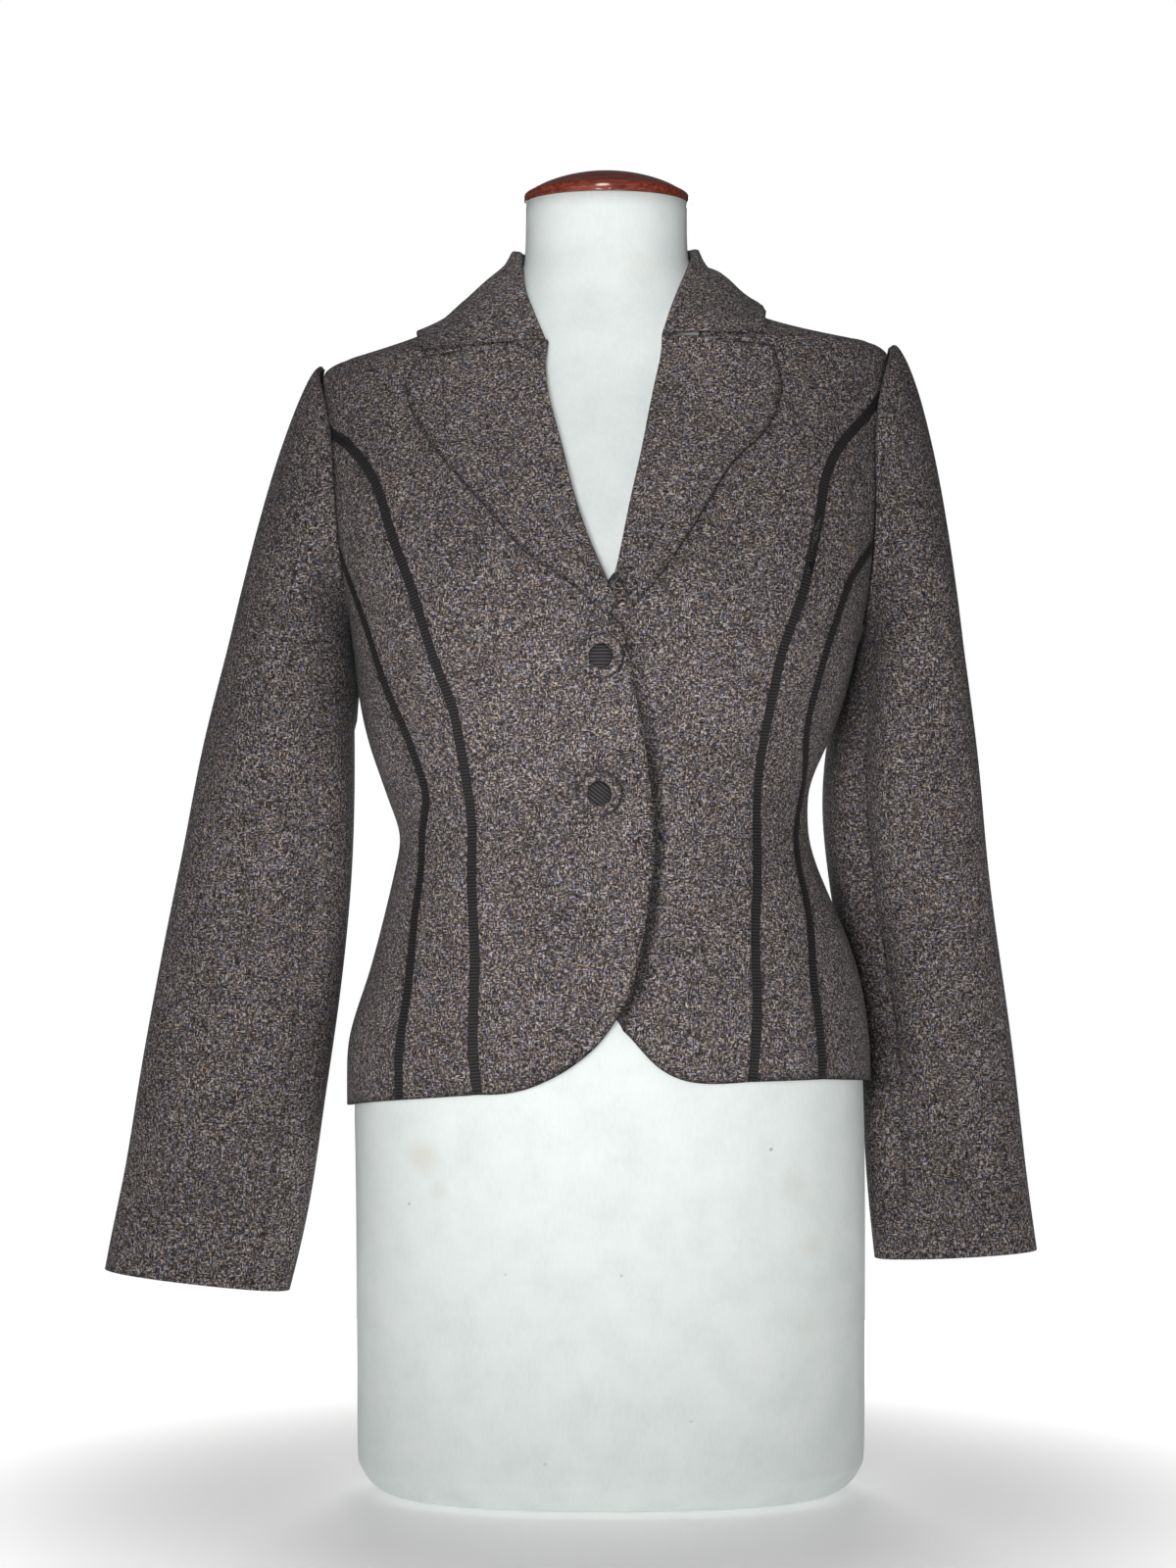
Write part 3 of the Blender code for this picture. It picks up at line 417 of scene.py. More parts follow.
# %% Shape the shoulders
# How far out from the middle, and how far the line is raised there, in millimetres
SHOULDER_OUT = (60, 95, 130, 160, 172, 185, 198, 225)
SHOULDER_RISE = {"right": (0.0, -0.9, -1.3, -1.1, 0.2, 4.6, 4.0, 0.0),
                 "left": (0.0, -1.0, -1.4, -1.2, 0.0, 4.8, 4.2, 0.0)}
SHOULDER_FROM, SHOULDER_FULL = 690, 738
# The lapel's greatest draw, where it is, and how wide and high it reaches
LAPEL_DRAW, LAPEL_X, LAPEL_Z = 3.6, -44, 736
DRAW_WIDE, DRAW_HIGH = 14, 17


def ramp(values, start, end):
    """0 at start and 1 at end, even between them and level beyond."""
    return np.clip((values - start) / (end - start), 0, 1)


def square_shoulders(piece):
    """Raises or lowers the upper points, softly starting above the chest."""
    places, _ = vertex_arrays(piece)
    x, z = places[:, 0] / MM, places[:, 2] / MM
    share = ramp(z, SHOULDER_FROM, SHOULDER_FULL)
    right = np.interp(-x, SHOULDER_OUT, SHOULDER_RISE["right"])
    left = np.interp(x, SHOULDER_OUT, SHOULDER_RISE["left"])
    places[:, 2] += np.where(x < 0, right, left) * share * share * (3 - 2 * share) * MM
    move_points(piece, places)


def draw_in(piece):
    """Draws a lapel towards the middle round one place."""
    places, _ = vertex_arrays(piece)
    x, _, z = places.T / MM
    near = np.exp(-((x - LAPEL_X) / DRAW_WIDE) ** 2 - ((z - LAPEL_Z) / DRAW_HIGH) ** 2)
    places[:, 0] += LAPEL_DRAW * near * MM
    move_points(piece, places)


draw_in(cloth["lapel_right"])
for piece in cloth.values():
    square_shoulders(piece)
print("shoulders raised by up to", max(SHOULDER_RISE["left"]), "mm")

# %% [markdown]
# ## Edges that lift and edges in shade
# The lapels lie on the fronts without being pressed flat, so their edges stand off by some two
# millimetres and a dark line shows below them. Edges and seams also look darker than the open
# cloth, because little light gets in there, and that shade is painted into the tweed's colour.
# Each point gets a number that says how deep in painted shade it lies, and the tweed material reads
# it later. The seam between collar and lapel is pressed so well that it hardly shows, so its painted
# shade is weak there, except at the slit of the notch. The under front gets a painted shadow next to
# the over front's edge, and the hollows where the sleeves hang close to the sides get painted shade.

# %% Lift the turned edges and note the painted shade of edges and hollows
LIFT, LIFT_REACH = 2.2, 9.0
LIFT_BELOW, LIFT_NONE_ABOVE = 700, 732
# Painted shade: reach from open edges, share per piece, gorge, the over front's shadow and hollows
SHADE_REACH = 4.5
SHADE_SHARE = {**dict.fromkeys(SLEEVES, 0.45), "collar": 0.7}
GORGE_FROM, GORGE_SHARE = 728, 0.3
NOTCH_RIGHT, NOTCH_LEFT = -92, 80
UNDER_NEAR, UNDER_REACH = 5.5, 6.0
UNDER_HEIGHTS, UNDER_SHARES = (300, 470, 560), (1.0, 1.0, 0.35)
OVER_EDGE_FROM, OVER_EDGE_BELOW = -5 * MM, 555 * MM
HOLLOW_REACH, HOLLOW_SHARE = 42.0, 1.0
HOLLOW_FULL, HOLLOW_NONE = 560, 640
# Each piece that gets painted shade in a hollow, and the pieces that close it
HOLLOWS = {}
for side in SIDES:
    sleeve = ["sleeve_%s_top" % side, "sleeve_%s_under" % side]
    HOLLOWS.update({"side_" + side: sleeve, "front_side_" + side: sleeve})
    HOLLOWS.update(dict.fromkeys(sleeve, ["side_" + side, "front_side_" + side]))


def rim_places(piece):
    """The places of the points on a piece's open edges."""
    rim = {point for key in open_edges(piece) for point in key}
    return [piece.data.vertices[point].co.copy() for point in rim]


def distance_to(piece, places):
    """Distance of every point of a piece to the nearest of some places, in millimetres."""
    finder = KDTree(len(places))
    for number, place in enumerate(places):
        finder.insert(place, number)
    finder.balance()
    return np.array([finder.find(v.co)[2] for v in piece.data.vertices]) / MM


def lift_edges(piece):
    """Lifts a lapel's edges off the front, but not near the collar."""
    places, normals = vertex_arrays(piece)
    near = np.exp(-(distance_to(piece, rim_places(piece)) / LIFT_REACH) ** 2)
    low = ramp(places[:, 2] / MM, LIFT_NONE_ABOVE, LIFT_BELOW)
    forward = np.clip(FRONT * normals[:, 1] * FACING_GAIN, 0, 1)
    places += normals * (LIFT * near * low * forward * MM)[:, None]
    move_points(piece, places)


def places_of(node_names):
    """The places of all points of some cloth pieces."""
    return [v.co.copy() for name in node_names for v in cloth[name].data.vertices]


def edge_shade(node_name, piece):
    """Painted shade for each point: up to 1 on open edges, beside the over front's edge and in hollows, 0
    on the open cloth.
    """
    shade = ramp(distance_to(piece, rim_places(piece)), SHADE_REACH, 0)
    shade *= SHADE_SHARE.get(node_name, 1.0)
    x, _, z = vertex_arrays(piece)[0].T / MM
    if node_name in TURNED:
        gorge = (z > GORGE_FROM) & (x > NOTCH_RIGHT) & (x < NOTCH_LEFT)
        shade[gorge] *= GORGE_SHARE
    if node_name == "front_left":
        over = [place for place in rim_places(cloth["front_right"])
                if place.x > OVER_EDGE_FROM and place.z < OVER_EDGE_BELOW]
        near = ramp(distance_to(piece, over), UNDER_NEAR + UNDER_REACH, UNDER_NEAR)
        shade = np.maximum(shade, near * np.interp(z, UNDER_HEIGHTS, UNDER_SHARES))
    if node_name in HOLLOWS:
        near = ramp(distance_to(piece, places_of(HOLLOWS[node_name])), HOLLOW_REACH, 0)
        low = ramp(z, HOLLOW_NONE, HOLLOW_FULL)
        shade = np.maximum(shade, HOLLOW_SHARE * near * low)
    return shade


for node_name, piece in cloth.items():
    if node_name.startswith("lapel"):
        lift_edges(piece)
    noted = piece.data.attributes.new("edge_shade", "FLOAT", "POINT")
    noted.data.foreach_set("value", edge_shade(node_name, piece))
print("lapel edges lifted by up to", LIFT, "mm")

# %% [markdown]
# ## A bed for what lies on the panels
# The ribbons are sewn flat on the panels, over the seams. They have to follow the creased panels
# closely, so a joined copy of the body layers is kept aside as a bed that a Shrinkwrap modifier can
# press them on. The bed is deleted once everything lies on it.

# %% Joined copy of the body panels
bpy.ops.object.select_all(action="DESELECT")
for node_name in PANELS:
    twin = twin_of(cloth[node_name])
    twin.select_set(True)
    bpy.context.view_layer.objects.active = twin
bpy.ops.object.join()
bed = bpy.context.object
bed.name = "bed"
print("bed faces:", len(bed.data.polygons))

# %% [markdown]
# ## Thickness
# Wool tweed with its facing is about two millimetres thick. Solidify adds that towards the inside,
# so the outer form stays where it is, and a small bevel rounds the edges, because a folded cloth
# edge is never sharp. Where two panels meet, the two rounded edges make the groove of the seam.

# %% Solidify and round the edges
CLOTH_THICK = 2.0 * MM
EDGE_ROUND = 0.55 * MM
EDGE_ANGLE = math.radians(55)
INWARDS, OUTWARDS = -1, 1


def thicken(piece, thickness, way, edge_round):
    """Gives a layer its thickness, inwards or outwards, and rounds its edges."""
    apply_modifier(piece, "SOLIDIFY", thickness=thickness, offset=way)
    apply_modifier(piece, "BEVEL", width=edge_round, segments=2, limit_method="ANGLE",
                   angle_limit=EDGE_ANGLE)
    work_on(piece)
    bpy.ops.object.shade_smooth()


for piece in cloth.values():
    thicken(piece, CLOTH_THICK, INWARDS, EDGE_ROUND)
print("cloth triangles:", sum(2 * len(p.data.polygons) for p in cloth.values()))

# %% [markdown]
# ## Grosgrain ribbons
# Four narrow ribbons cover the front seams. Each one starts at the hem and runs into the armhole
# seam under the sleeve. Its solid stops a little short of the sleeve, so the end edge is
# extruded along the seam. Grosgrain has ribs across its length. To draw them, the ribbon needs a
# map that runs along it, so its rows of points are measured along the middle line and written as
# a UV map in millimetres before the grid is smoothed.

# %% Ribbons
RIBBON_REACH = {"ribbon_front": 19.0 * MM, "ribbon_side": 12.0 * MM}
RIBBON_THICK = 0.6 * MM
RIBBON_LIFT = 0.12 * MM
RIBBON_ROUND = 0.15 * MM
ROW_POINTS = 3


def rows_of(piece):
    """The ribbon's rows of points, three in each, walked along its grid from the hem upwards."""
    beside = {v.index: set() for v in piece.data.vertices}
    for edge in piece.data.edges:
        first, second = edge.vertices
        beside[first].add(second)
        beside[second].add(first)
    row = sorted(beside, key=lambda i: piece.data.vertices[i].co.z)[:ROW_POINTS]
    row.sort(key=lambda i: piece.data.vertices[i].co.x)
    rows, seen = [], set()
    while row:
        rows.append(row)
        seen.update(row)
        ahead = [sorted(beside[i] - seen, key=lambda j: len(beside[j] & beside[i])) for i in row]
        row = [choice[0] for choice in ahead] if all(ahead) else None
    return rows


def end_direction(piece, rows):
    """The direction a ribbon has at its upper end."""
    before, last = (sum((piece.data.vertices[i].co for i in row), Vector()) for row in rows[-2:])
    return (last - before).normalized()


def measure_along(piece, rows):
    """Writes a UV map in millimetres: along the ribbon, and across it."""
    places = np.array([v.co for v in piece.data.vertices])
    middles = np.array([places[row].mean(axis=0) for row in rows])
    runs = np.concatenate([[0], np.cumsum(np.linalg.norm(np.diff(middles, axis=0), axis=1))])
    along, across = np.zeros(len(places)), np.zeros(len(places))
    for row, run in zip(rows, runs):
        along[row] = run
        across[row] = np.linalg.norm(places[row] - places[row[0]], axis=1)
    layer = piece.data.uv_layers.new(name="Ribbon")
    for loop in piece.data.loops:
        layer.data[loop.index].uv = (along[loop.vertex_index] / MM, across[loop.vertex_index] / MM)
    return runs[-1]


ribbons = {}
for kind, reach in RIBBON_REACH.items():
    for side in SIDES:
        node_name = kind + "_" + side
        piece = copy_of(node_name, node_name + "_band")
        keep_outer_layer(piece)
        rows = rows_of(piece)
        draw_on(piece, rows[-1], end_direction(piece, rows) * reach)
        length = measure_along(piece, rows_of(piece))
        smooth_out(piece, FINE_LEVELS)
        apply_modifier(piece, "SHRINKWRAP", target=bed, wrap_method="NEAREST_SURFACEPOINT",
                       wrap_mode="ABOVE_SURFACE", offset=RIBBON_LIFT)
        thicken(piece, RIBBON_THICK, OUTWARDS, RIBBON_ROUND)
        ribbons[node_name] = piece
        print(node_name, "length in mm:", round(length / MM))

# %% [markdown]
# ## Buttons
# Each button is a wooden or card disc covered in the jacket's tweed, with a round of the ribbon set
# in the middle. Both are turned shapes with eighteen sides, and subdividing their copies makes
# them round.

# %% Buttons
RIM_SHADE_FROM, RIM_SHADE_FULL = 12.2, 13.8
RIM_SHADE, RIM_TURNED = 0.75, 0.25


def note_rim(piece):
    """Shades a rim's outer edge, most of all at the lower right, which is turned from the light."""
    places, _ = vertex_arrays(piece)
    middle = (places.min(axis=0) + places.max(axis=0)) / 2
    x, _, z = (places - middle).T / MM
    out = np.hypot(x, z)
    away = (x - z) / np.maximum(out, 1) / math.sqrt(2)
    edge = ramp(out, RIM_SHADE_FROM, RIM_SHADE_FULL)
    shade = piece.data.attributes.new("edge_shade", "FLOAT", "POINT")
    shade.data.foreach_set("value", edge * (RIM_SHADE + RIM_TURNED * away))


buttons = {}
for place in ("upper", "lower"):
    for kind in ("rim", "face"):
        node_name = "button_%s_%s" % (place, kind)
        piece = copy_of(node_name, node_name + "_round")
        smooth_out(piece, PLAIN_LEVELS)
        bpy.ops.object.shade_smooth()
        if kind == "rim":
            note_rim(piece)
        buttons[node_name] = piece
print("button pieces:", len(buttons))

# %% [markdown]
# ## The dress form
# The padded body is one smooth solid under a tight jersey cover. Its flat underside has to stay
# flat, so the edge ring there, and the one under the neck cap, get a full crease before the
# subdivision. A crease tells the surface to keep that edge sharp. Under the jacket's shoulder pads
# the padding is pressed in by a few millimetres, so that it can't show through the cloth.

# %% Dress form and neck cap
FLAT_TOLERANCE = 0.5 * MM
PAD_PRESS = 4.0 * MM
PAD_OUT, PAD_FULL_OUT = 95, 130
PAD_FROM, PAD_FULL_FROM = 590, 650


def crease_level_rings(piece, heights):
    """Gives a full crease to the edges that lie level at the given heights."""
    mesh = piece.data
    crease = mesh.attributes.new("crease_edge", "FLOAT", "EDGE")
    for edge in mesh.edges:
        ends = [mesh.vertices[i].co.z for i in edge.vertices]
        level = any(max(abs(z - height) for z in ends) < FLAT_TOLERANCE for height in heights)
        crease.data[edge.index].value = 1.0 if level else 0.0


def press_under_pads(piece):
    """Presses the form in along its normals, high up and far out."""
    places, normals = vertex_arrays(piece)
    x, _, z = places.T / MM
    pressed = PAD_PRESS * ramp(abs(x), PAD_OUT, PAD_FULL_OUT) * ramp(z, PAD_FROM, PAD_FULL_FROM)
    places -= normals * pressed[:, None]
    move_points(piece, places)


form_low, form_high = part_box("form_torso")
form = copy_of("form_torso", "form_cover")
crease_level_rings(form, (form_low.z, form_high.z))
smooth_out(form, PLAIN_LEVELS)
press_under_pads(form)
bpy.ops.object.shade_smooth()
cap = copy_of("neck_cap", "neck_cap_turned")
smooth_out(cap, FINE_LEVELS)
bpy.ops.object.shade_smooth()
print("form faces:", len(form.data.polygons), "cap faces:", len(cap.data.polygons))

# %% [markdown]
# ## Helpers for the finishes
# Colours are written as the hex values a paint program shows, and one function turns them into
# the linear light values that shaders need. One more function adds a node with its settings and
# links, so that a material reads like a list of what it is made of. Another starts a material with
# the values that are the same all over it. Small stains and stitches are soft round spots on the
# front, added up by the last helper.

# %% Colour and node helpers
def colour(code):
    """Linear RGBA of an sRGB hex colour."""
    values = [int(code[i:i + 2], 16) / 255 for i in (1, 3, 5)]
    return [v / 12.92 if v <= 0.04045 else ((v + 0.055) / 1.055) ** 2.4 for v in values] + [1.0]


def add(tree, kind, inputs=None, **settings):
    """Adds a node. An input is a value, or another node's output to link to."""
    node = tree.nodes.new(kind)
    for key, value in settings.items():
        setattr(node, key, value)
    for socket, value in (inputs or {}).items():
        if isinstance(value, bpy.types.NodeSocket):
            tree.links.new(value, node.inputs[socket])
        else:
            node.inputs[socket].default_value = value
    return node


def new_material(name, values):
    """A new material, its node tree and its shader, which gets the values that are even all over."""
    made = bpy.data.materials.new(name)
    made.use_nodes = True
    shader = made.node_tree.nodes["Principled BSDF"]
    for socket, value in values.items():
        shader.inputs[socket].default_value = value
    return made, made.node_tree, shader


def set_ramp(node, stops):
    """Sets a colour ramp's stops: place and hex colour."""
    while len(node.color_ramp.elements) < len(stops):
        node.color_ramp.elements.new(0.5)
    for element, (place, code) in zip(node.color_ramp.elements, stops):
        element.position = place
        element.color = colour(code)


def spot_sum(tree, coords, rows, edge):
    """Sum of soft round spots on the front, from rows of x, z, radius and strength."""
    parts = add(tree, "ShaderNodeSeparateXYZ", {"Vector": coords})
    facing = add(tree, "ShaderNodeMath", {0: parts.outputs["Y"], 1: 0.0}, operation="LESS_THAN")
    total = None
    for x, z, radius, strength in rows:
        flat = add(tree, "ShaderNodeCombineXYZ", {"X": parts.outputs["X"], "Z": parts.outputs["Z"]})
        gap = add(tree, "ShaderNodeVectorMath", {0: flat.outputs["Vector"], 1: (x * MM, 0.0, z * MM)},
                  operation="DISTANCE")
        spot = add(tree, "ShaderNodeMapRange", {"Value": gap.outputs["Value"],
                   "From Min": radius * edge * MM, "From Max": radius * MM, "To Min": strength,
                   "To Max": 0.0}, interpolation_type="SMOOTHSTEP")
        if total is None:
            total = spot.outputs["Result"]
        else:
            both = add(tree, "ShaderNodeMath", {0: total, 1: spot.outputs["Result"]}, operation="ADD")
            total = both.outputs["Value"]
    shown = add(tree, "ShaderNodeMath", {0: total, 1: facing.outputs["Value"]}, operation="MULTIPLY")
    return shown.outputs["Value"]


# %% [markdown]
# ## Wool tweed
# Tweed is woven from yarns that were dyed as loose wool and spun from several shades, so every yarn
# is flecked. The eye sees pepper-and-salt grains about two millimetres long, some along the
# warp and some along the weft, brown on the whole, with faint plum, blue and rust. The surface is
# matt and a little hairy. Two stretched noises make the warp and weft grains, a third shifts the
# hue in patches, and the grains also raise the bump. Object coordinates serve well, because
# the grain has no fixed direction to follow round the body. A few dark marks are the ends of the
# stitched buttonholes and two small stains.

# %% Tweed material
# Sizes of the grains and patches in millimetres, and shifts that set the noises apart
GRAIN_SHORT, GRAIN_LONG = 0.85, 2.3
CROSSING = 2.4
HUE_PATCH = 1.7
SHADE_PATCH = 45.0
WEFT_SHIFT, CROSSING_SHIFT, HUE_SHIFT = 31.0, 7.0, 13.0
TINT_SHARE = 0.55
PATCH_DARK, PATCH_LIGHT = 0.79, 0.99
# How the painted shade of edges and hollows bends, and how much it darkens the colour at full
EDGE_BEND, EDGE_DARK = 1.6, 0.78
NAP_HEIGHT = 0.4 * MM
# Dark marks on the front: x, z, radius, strength, in millimetres
TWEED_MARKS = ((-255, 181, 2.4, 0.85), (86, 512, 1.5, 0.8), (-20.8, 547, 1.7, 0.75),
               (-20.8, 543.5, 1.7, 0.75), (-21.6, 459, 1.9, 0.55))


def grains(tree, coords, size, detail, shift=0.0, roughness=0.6):
    """Soft random grains of a given size along x, y and z, in millimetres."""
    place = add(tree, "ShaderNodeMapping", {"Vector": coords, "Location": (shift, shift, shift),
                "Scale": [1 / (length * MM) for length in size]})
    made = add(tree, "ShaderNodeTexNoise", {"Vector": place.outputs["Vector"], "Scale": 1.0,
               "Detail": detail, "Roughness": roughness})
    return made.outputs["Fac"]


def tweed_material():
    """Flecked grains, tinted in patches, with painted shade on edges and in hollows, and dark marks."""
    made, tree, shader = new_material("wool tweed, pepper and salt", {
        "Roughness": 0.92, "Specular IOR Level": 0.2, "Sheen Weight": 0.06, "Sheen Roughness": 0.6})
    coords = add(tree, "ShaderNodeTexCoord").outputs["Object"]
    warp = grains(tree, coords, (GRAIN_SHORT, GRAIN_SHORT, GRAIN_LONG), 2.0)
    weft = grains(tree, coords, (GRAIN_LONG, GRAIN_LONG, GRAIN_SHORT), 2.0, WEFT_SHIFT)
    over_under = grains(tree, coords, (CROSSING,) * 3, 0.0, CROSSING_SHIFT)
    crossing = add(tree, "ShaderNodeMapRange", {"Value": over_under, "From Min": 0.45, "From Max": 0.55})
    weave = add(tree, "ShaderNodeMix", {0: crossing.outputs["Result"], 2: warp, 3: weft})
    grain = add(tree, "ShaderNodeMapRange", {"Value": weave.outputs[0], "From Min": 0.3, "From Max": 0.7})
    fleck = add(tree, "ShaderNodeValToRGB", {"Fac": grain.outputs["Result"]})
    set_ramp(fleck, ((0.08, "#131112"), (0.40, "#423d3d"), (0.60, "#6e6766"), (0.93, "#d0c9c5")))
    hue = grains(tree, coords, (HUE_PATCH,) * 3, 2.0, HUE_SHIFT)
    tint = add(tree, "ShaderNodeValToRGB", {"Fac": hue})
    set_ramp(tint, ((0.35, "#5a6a9c"), (0.45, "#84727f"), (0.50, "#767c70"), (0.55, "#80766b"),
                    (0.65, "#a8784c")))
    mixed = add(tree, "ShaderNodeMix", {0: TINT_SHARE, 6: fleck.outputs["Color"],
                7: tint.outputs["Color"]}, data_type="RGBA", blend_type="COLOR")
    patch = add(tree, "ShaderNodeMapRange", {"Value": grains(tree, coords, (SHADE_PATCH,) * 3, 3.0),
                "From Min": 0.3, "From Max": 0.7, "To Min": PATCH_DARK, "To Max": PATCH_LIGHT})
    # Painted shade: the edge_shade numbers darken the colour on edges, seams, button rims, beside the over
    # front's edge and in hollows
    edge = add(tree, "ShaderNodeAttribute", attribute_name="edge_shade").outputs["Fac"]
    bent = add(tree, "ShaderNodeMath", {0: edge, 1: EDGE_BEND}, operation="POWER")
    dimmed = add(tree, "ShaderNodeMath", {0: bent.outputs["Value"], 1: -EDGE_DARK, 2: 1.0},
                 operation="MULTIPLY_ADD")
    tone_and_shade = add(tree, "ShaderNodeMath", {0: patch.outputs["Result"], 1: dimmed.outputs["Value"]},
               operation="MULTIPLY")
    shaded = add(tree, "ShaderNodeVectorMath", {0: mixed.outputs[2], "Scale": tone_and_shade.outputs["Value"]},
                 operation="SCALE")
    marks = spot_sum(tree, coords, TWEED_MARKS, 0.3)
    marked = add(tree, "ShaderNodeMix", {0: marks, 6: shaded.outputs["Vector"], 7: colour("#1d1a1a")},
                 data_type="RGBA")
    tree.links.new(marked.outputs[2], shader.inputs["Base Color"])
    bump = add(tree, "ShaderNodeBump", {"Height": grain.outputs["Result"], "Strength": 0.6,
               "Distance": NAP_HEIGHT})
    tree.links.new(bump.outputs["Normal"], shader.inputs["Normal"])
    return made


tweed = tweed_material()
print("made", tweed.name)

# %% [markdown]
# ## Grosgrain ribbon
# Grosgrain has a thick weft under a fine warp, which stands up as ribs across the ribbon, with a low
# silky gleam. The real ribs are about 1.3 mm apart. That is close to one pixel of the render,
# where they would flicker, so they are drawn 2.1 mm apart. The ribs follow the ribbon's own UV map.
# The button centres have no such map and take the ribs from Object coordinates, level on the
# upper button and slanting on the lower one, as they were sewn.

# %% Grosgrain materials
# A wave repeats every 0.314 units at scale 1, so this scale draws one rib to a unit
WAVE_SCALE = 0.31416
RIB_PITCH, RIB_HEIGHT = 2.1, 0.35 * MM
THREAD_PATCH = 1.2


def grosgrain_material(name, coordinate, turn, per_unit, rib_shading):
    """Ribbed ribbon: source of its coordinates, turn of the ribs, units per mm, dark to light rib shading.
    """
    made, tree, shader = new_material(name, {"Roughness": 0.6, "Specular IOR Level": 0.3})
    source = add(tree, "ShaderNodeTexCoord").outputs[coordinate]
    turned = add(tree, "ShaderNodeMapping", {"Vector": source, "Rotation": turn,
                 "Scale": (1 / (RIB_PITCH * per_unit),) * 3})
    ribs = add(tree, "ShaderNodeTexWave", {"Vector": turned.outputs["Vector"], "Scale": WAVE_SCALE,
               "Distortion": 0.4, "Detail": 1.0, "Detail Scale": 0.6}, wave_type="BANDS",
               bands_direction="X", wave_profile="SIN")
    thread_place = add(tree, "ShaderNodeMapping", {"Vector": source,
                       "Scale": (1 / (THREAD_PATCH * per_unit),) * 3})
    thread = add(tree, "ShaderNodeTexNoise", {"Vector": thread_place.outputs["Vector"], "Detail": 1.0})
    # The colour follows the rib height: painted shade in the grooves and a painted highlight on the rib
    # tops, with thread noise as real tone
    height = add(tree, "ShaderNodeMath", {0: ribs.outputs["Fac"], 1: 0.8, 2: thread.outputs["Fac"]},
                 operation="MULTIPLY_ADD")
    tone_and_shade = add(tree, "ShaderNodeMapRange", {"Value": height.outputs["Value"], "From Min": 0.35,
               "From Max": 1.4})
    shade = add(tree, "ShaderNodeValToRGB", {"Fac": tone_and_shade.outputs["Result"]})
    set_ramp(shade, tuple(zip((0.0, 0.5, 1.0), rib_shading)))
    tree.links.new(shade.outputs["Color"], shader.inputs["Base Color"])
    bump = add(tree, "ShaderNodeBump", {"Height": ribs.outputs["Fac"], "Strength": 0.9,
               "Distance": RIB_HEIGHT})
    tree.links.new(bump.outputs["Normal"], shader.inputs["Normal"])
    return made


ALONG = (0.0, 0.0, 0.0)
LEVEL = (0.0, math.radians(90), 0.0)
SLANTING = (0.0, math.radians(52), 0.0)
# Dark to light: painted shade in the grooves, the middle tone, a painted highlight on the rib tops
RIBBON_RIB_SHADING = ("#0c0b0b", "#201e1f", "#3b3839")
BUTTON_RIB_SHADING = ("#030303", "#161515", "#514d50")
ribbon_grosgrain = grosgrain_material("grosgrain ribbon", "UV", ALONG, 1.0, RIBBON_RIB_SHADING)
level_grosgrain = grosgrain_material("grosgrain, level ribs", "Object", LEVEL, MM, BUTTON_RIB_SHADING)
slanting_grosgrain = grosgrain_material("grosgrain, slanting ribs", "Object", SLANTING, MM, BUTTON_RIB_SHADING)
print("made", ribbon_grosgrain.name)

# %% [markdown]
# ## Cotton jersey
# The form's cover is a pale, slightly green-white knit stretched tight over felt padding. From a
# step away it looks like fine paper felt with a hint of vertical wales. Years of use left a few faint
# beige marks and specks. The wales are stretched noise, because single stitches are too small to
# show, and the marks are soft round spots at places on the front that were chosen one by one.

# %% Jersey material
WALE_WIDTH, WALE_LENGTH, WALE_HEIGHT = 1.75, 5.25, 0.3 * MM
MOTTLE = 26.0
# Marks on the cover, seen from the front: x, z, radius, strength, in millimetres
COVER_MARKS = ((-118, 226, 16, 0.55), (-108, 206, 9, 0.45), (118, 208, 15, 0.35), (130, 170, 12, 0.3),
               (126, 120, 14, 0.25), (20, 800, 18, 0.25))
COVER_SPECKS = ((103, 232, 1.6, 0.5), (-127, 196, 1.5, 0.3), (8, 154, 1.4, 0.25), (-65, 154, 1.3, 0.2),
                (-40, 35, 1.6, 0.2), (52, 62, 1.3, 0.2))


def jersey_material():
    """Pale ground with wales, faint marks and specks."""
    made, tree, shader = new_material("cotton jersey, pale", {"Roughness": 0.9, "Specular IOR Level": 0.2})
    coords = add(tree, "ShaderNodeTexCoord").outputs["Object"]
    wales = grains(tree, coords, (WALE_WIDTH, WALE_WIDTH, WALE_LENGTH), 2.0)
    mottle = grains(tree, coords, (MOTTLE,) * 3, 4.0, roughness=0.5)
    both = add(tree, "ShaderNodeMath", {0: wales, 1: 0.5, 2: mottle}, operation="MULTIPLY_ADD")
    ground = add(tree, "ShaderNodeValToRGB", {"Fac": both.outputs["Value"]})
    set_ramp(ground, ((0.45, "#e0e7e5"), (0.75, "#e8eeec"), (1.0, "#edf2f0")))
    marks = spot_sum(tree, coords, COVER_MARKS, 0.1)
    broken = add(tree, "ShaderNodeMath", {0: marks, 1: mottle}, operation="MULTIPLY")
    stained = add(tree, "ShaderNodeMix", {0: broken.outputs["Value"], 6: ground.outputs["Color"],
                  7: colour("#cdbfae")}, data_type="RGBA")
    specks = spot_sum(tree, coords, COVER_SPECKS, 0.4)
    speckled = add(tree, "ShaderNodeMix", {0: specks, 6: stained.outputs[2], 7: colour("#57534f")},
                   data_type="RGBA")
    tree.links.new(speckled.outputs[2], shader.inputs["Base Color"])
    bump = add(tree, "ShaderNodeBump", {"Height": wales, "Strength": 0.35, "Distance": WALE_HEIGHT})
    tree.links.new(bump.outputs["Normal"], shader.inputs["Normal"])
    return made


jersey = jersey_material()
print("made", jersey.name)

# %% [markdown]
# ## Varnished mahogany
# The neck cap is turned mahogany under many coats of gloss varnish: a deep red-brown with dark pores
# along the grain, and a clear coat that mirrors the lights. The grain runs straight across the
# cap, so a noise stretched along X draws it. The coat is a separate layer of the shader.

# %% Mahogany material
GRAIN_WIDTH, GRAIN_RUN = 1.6, 22.4


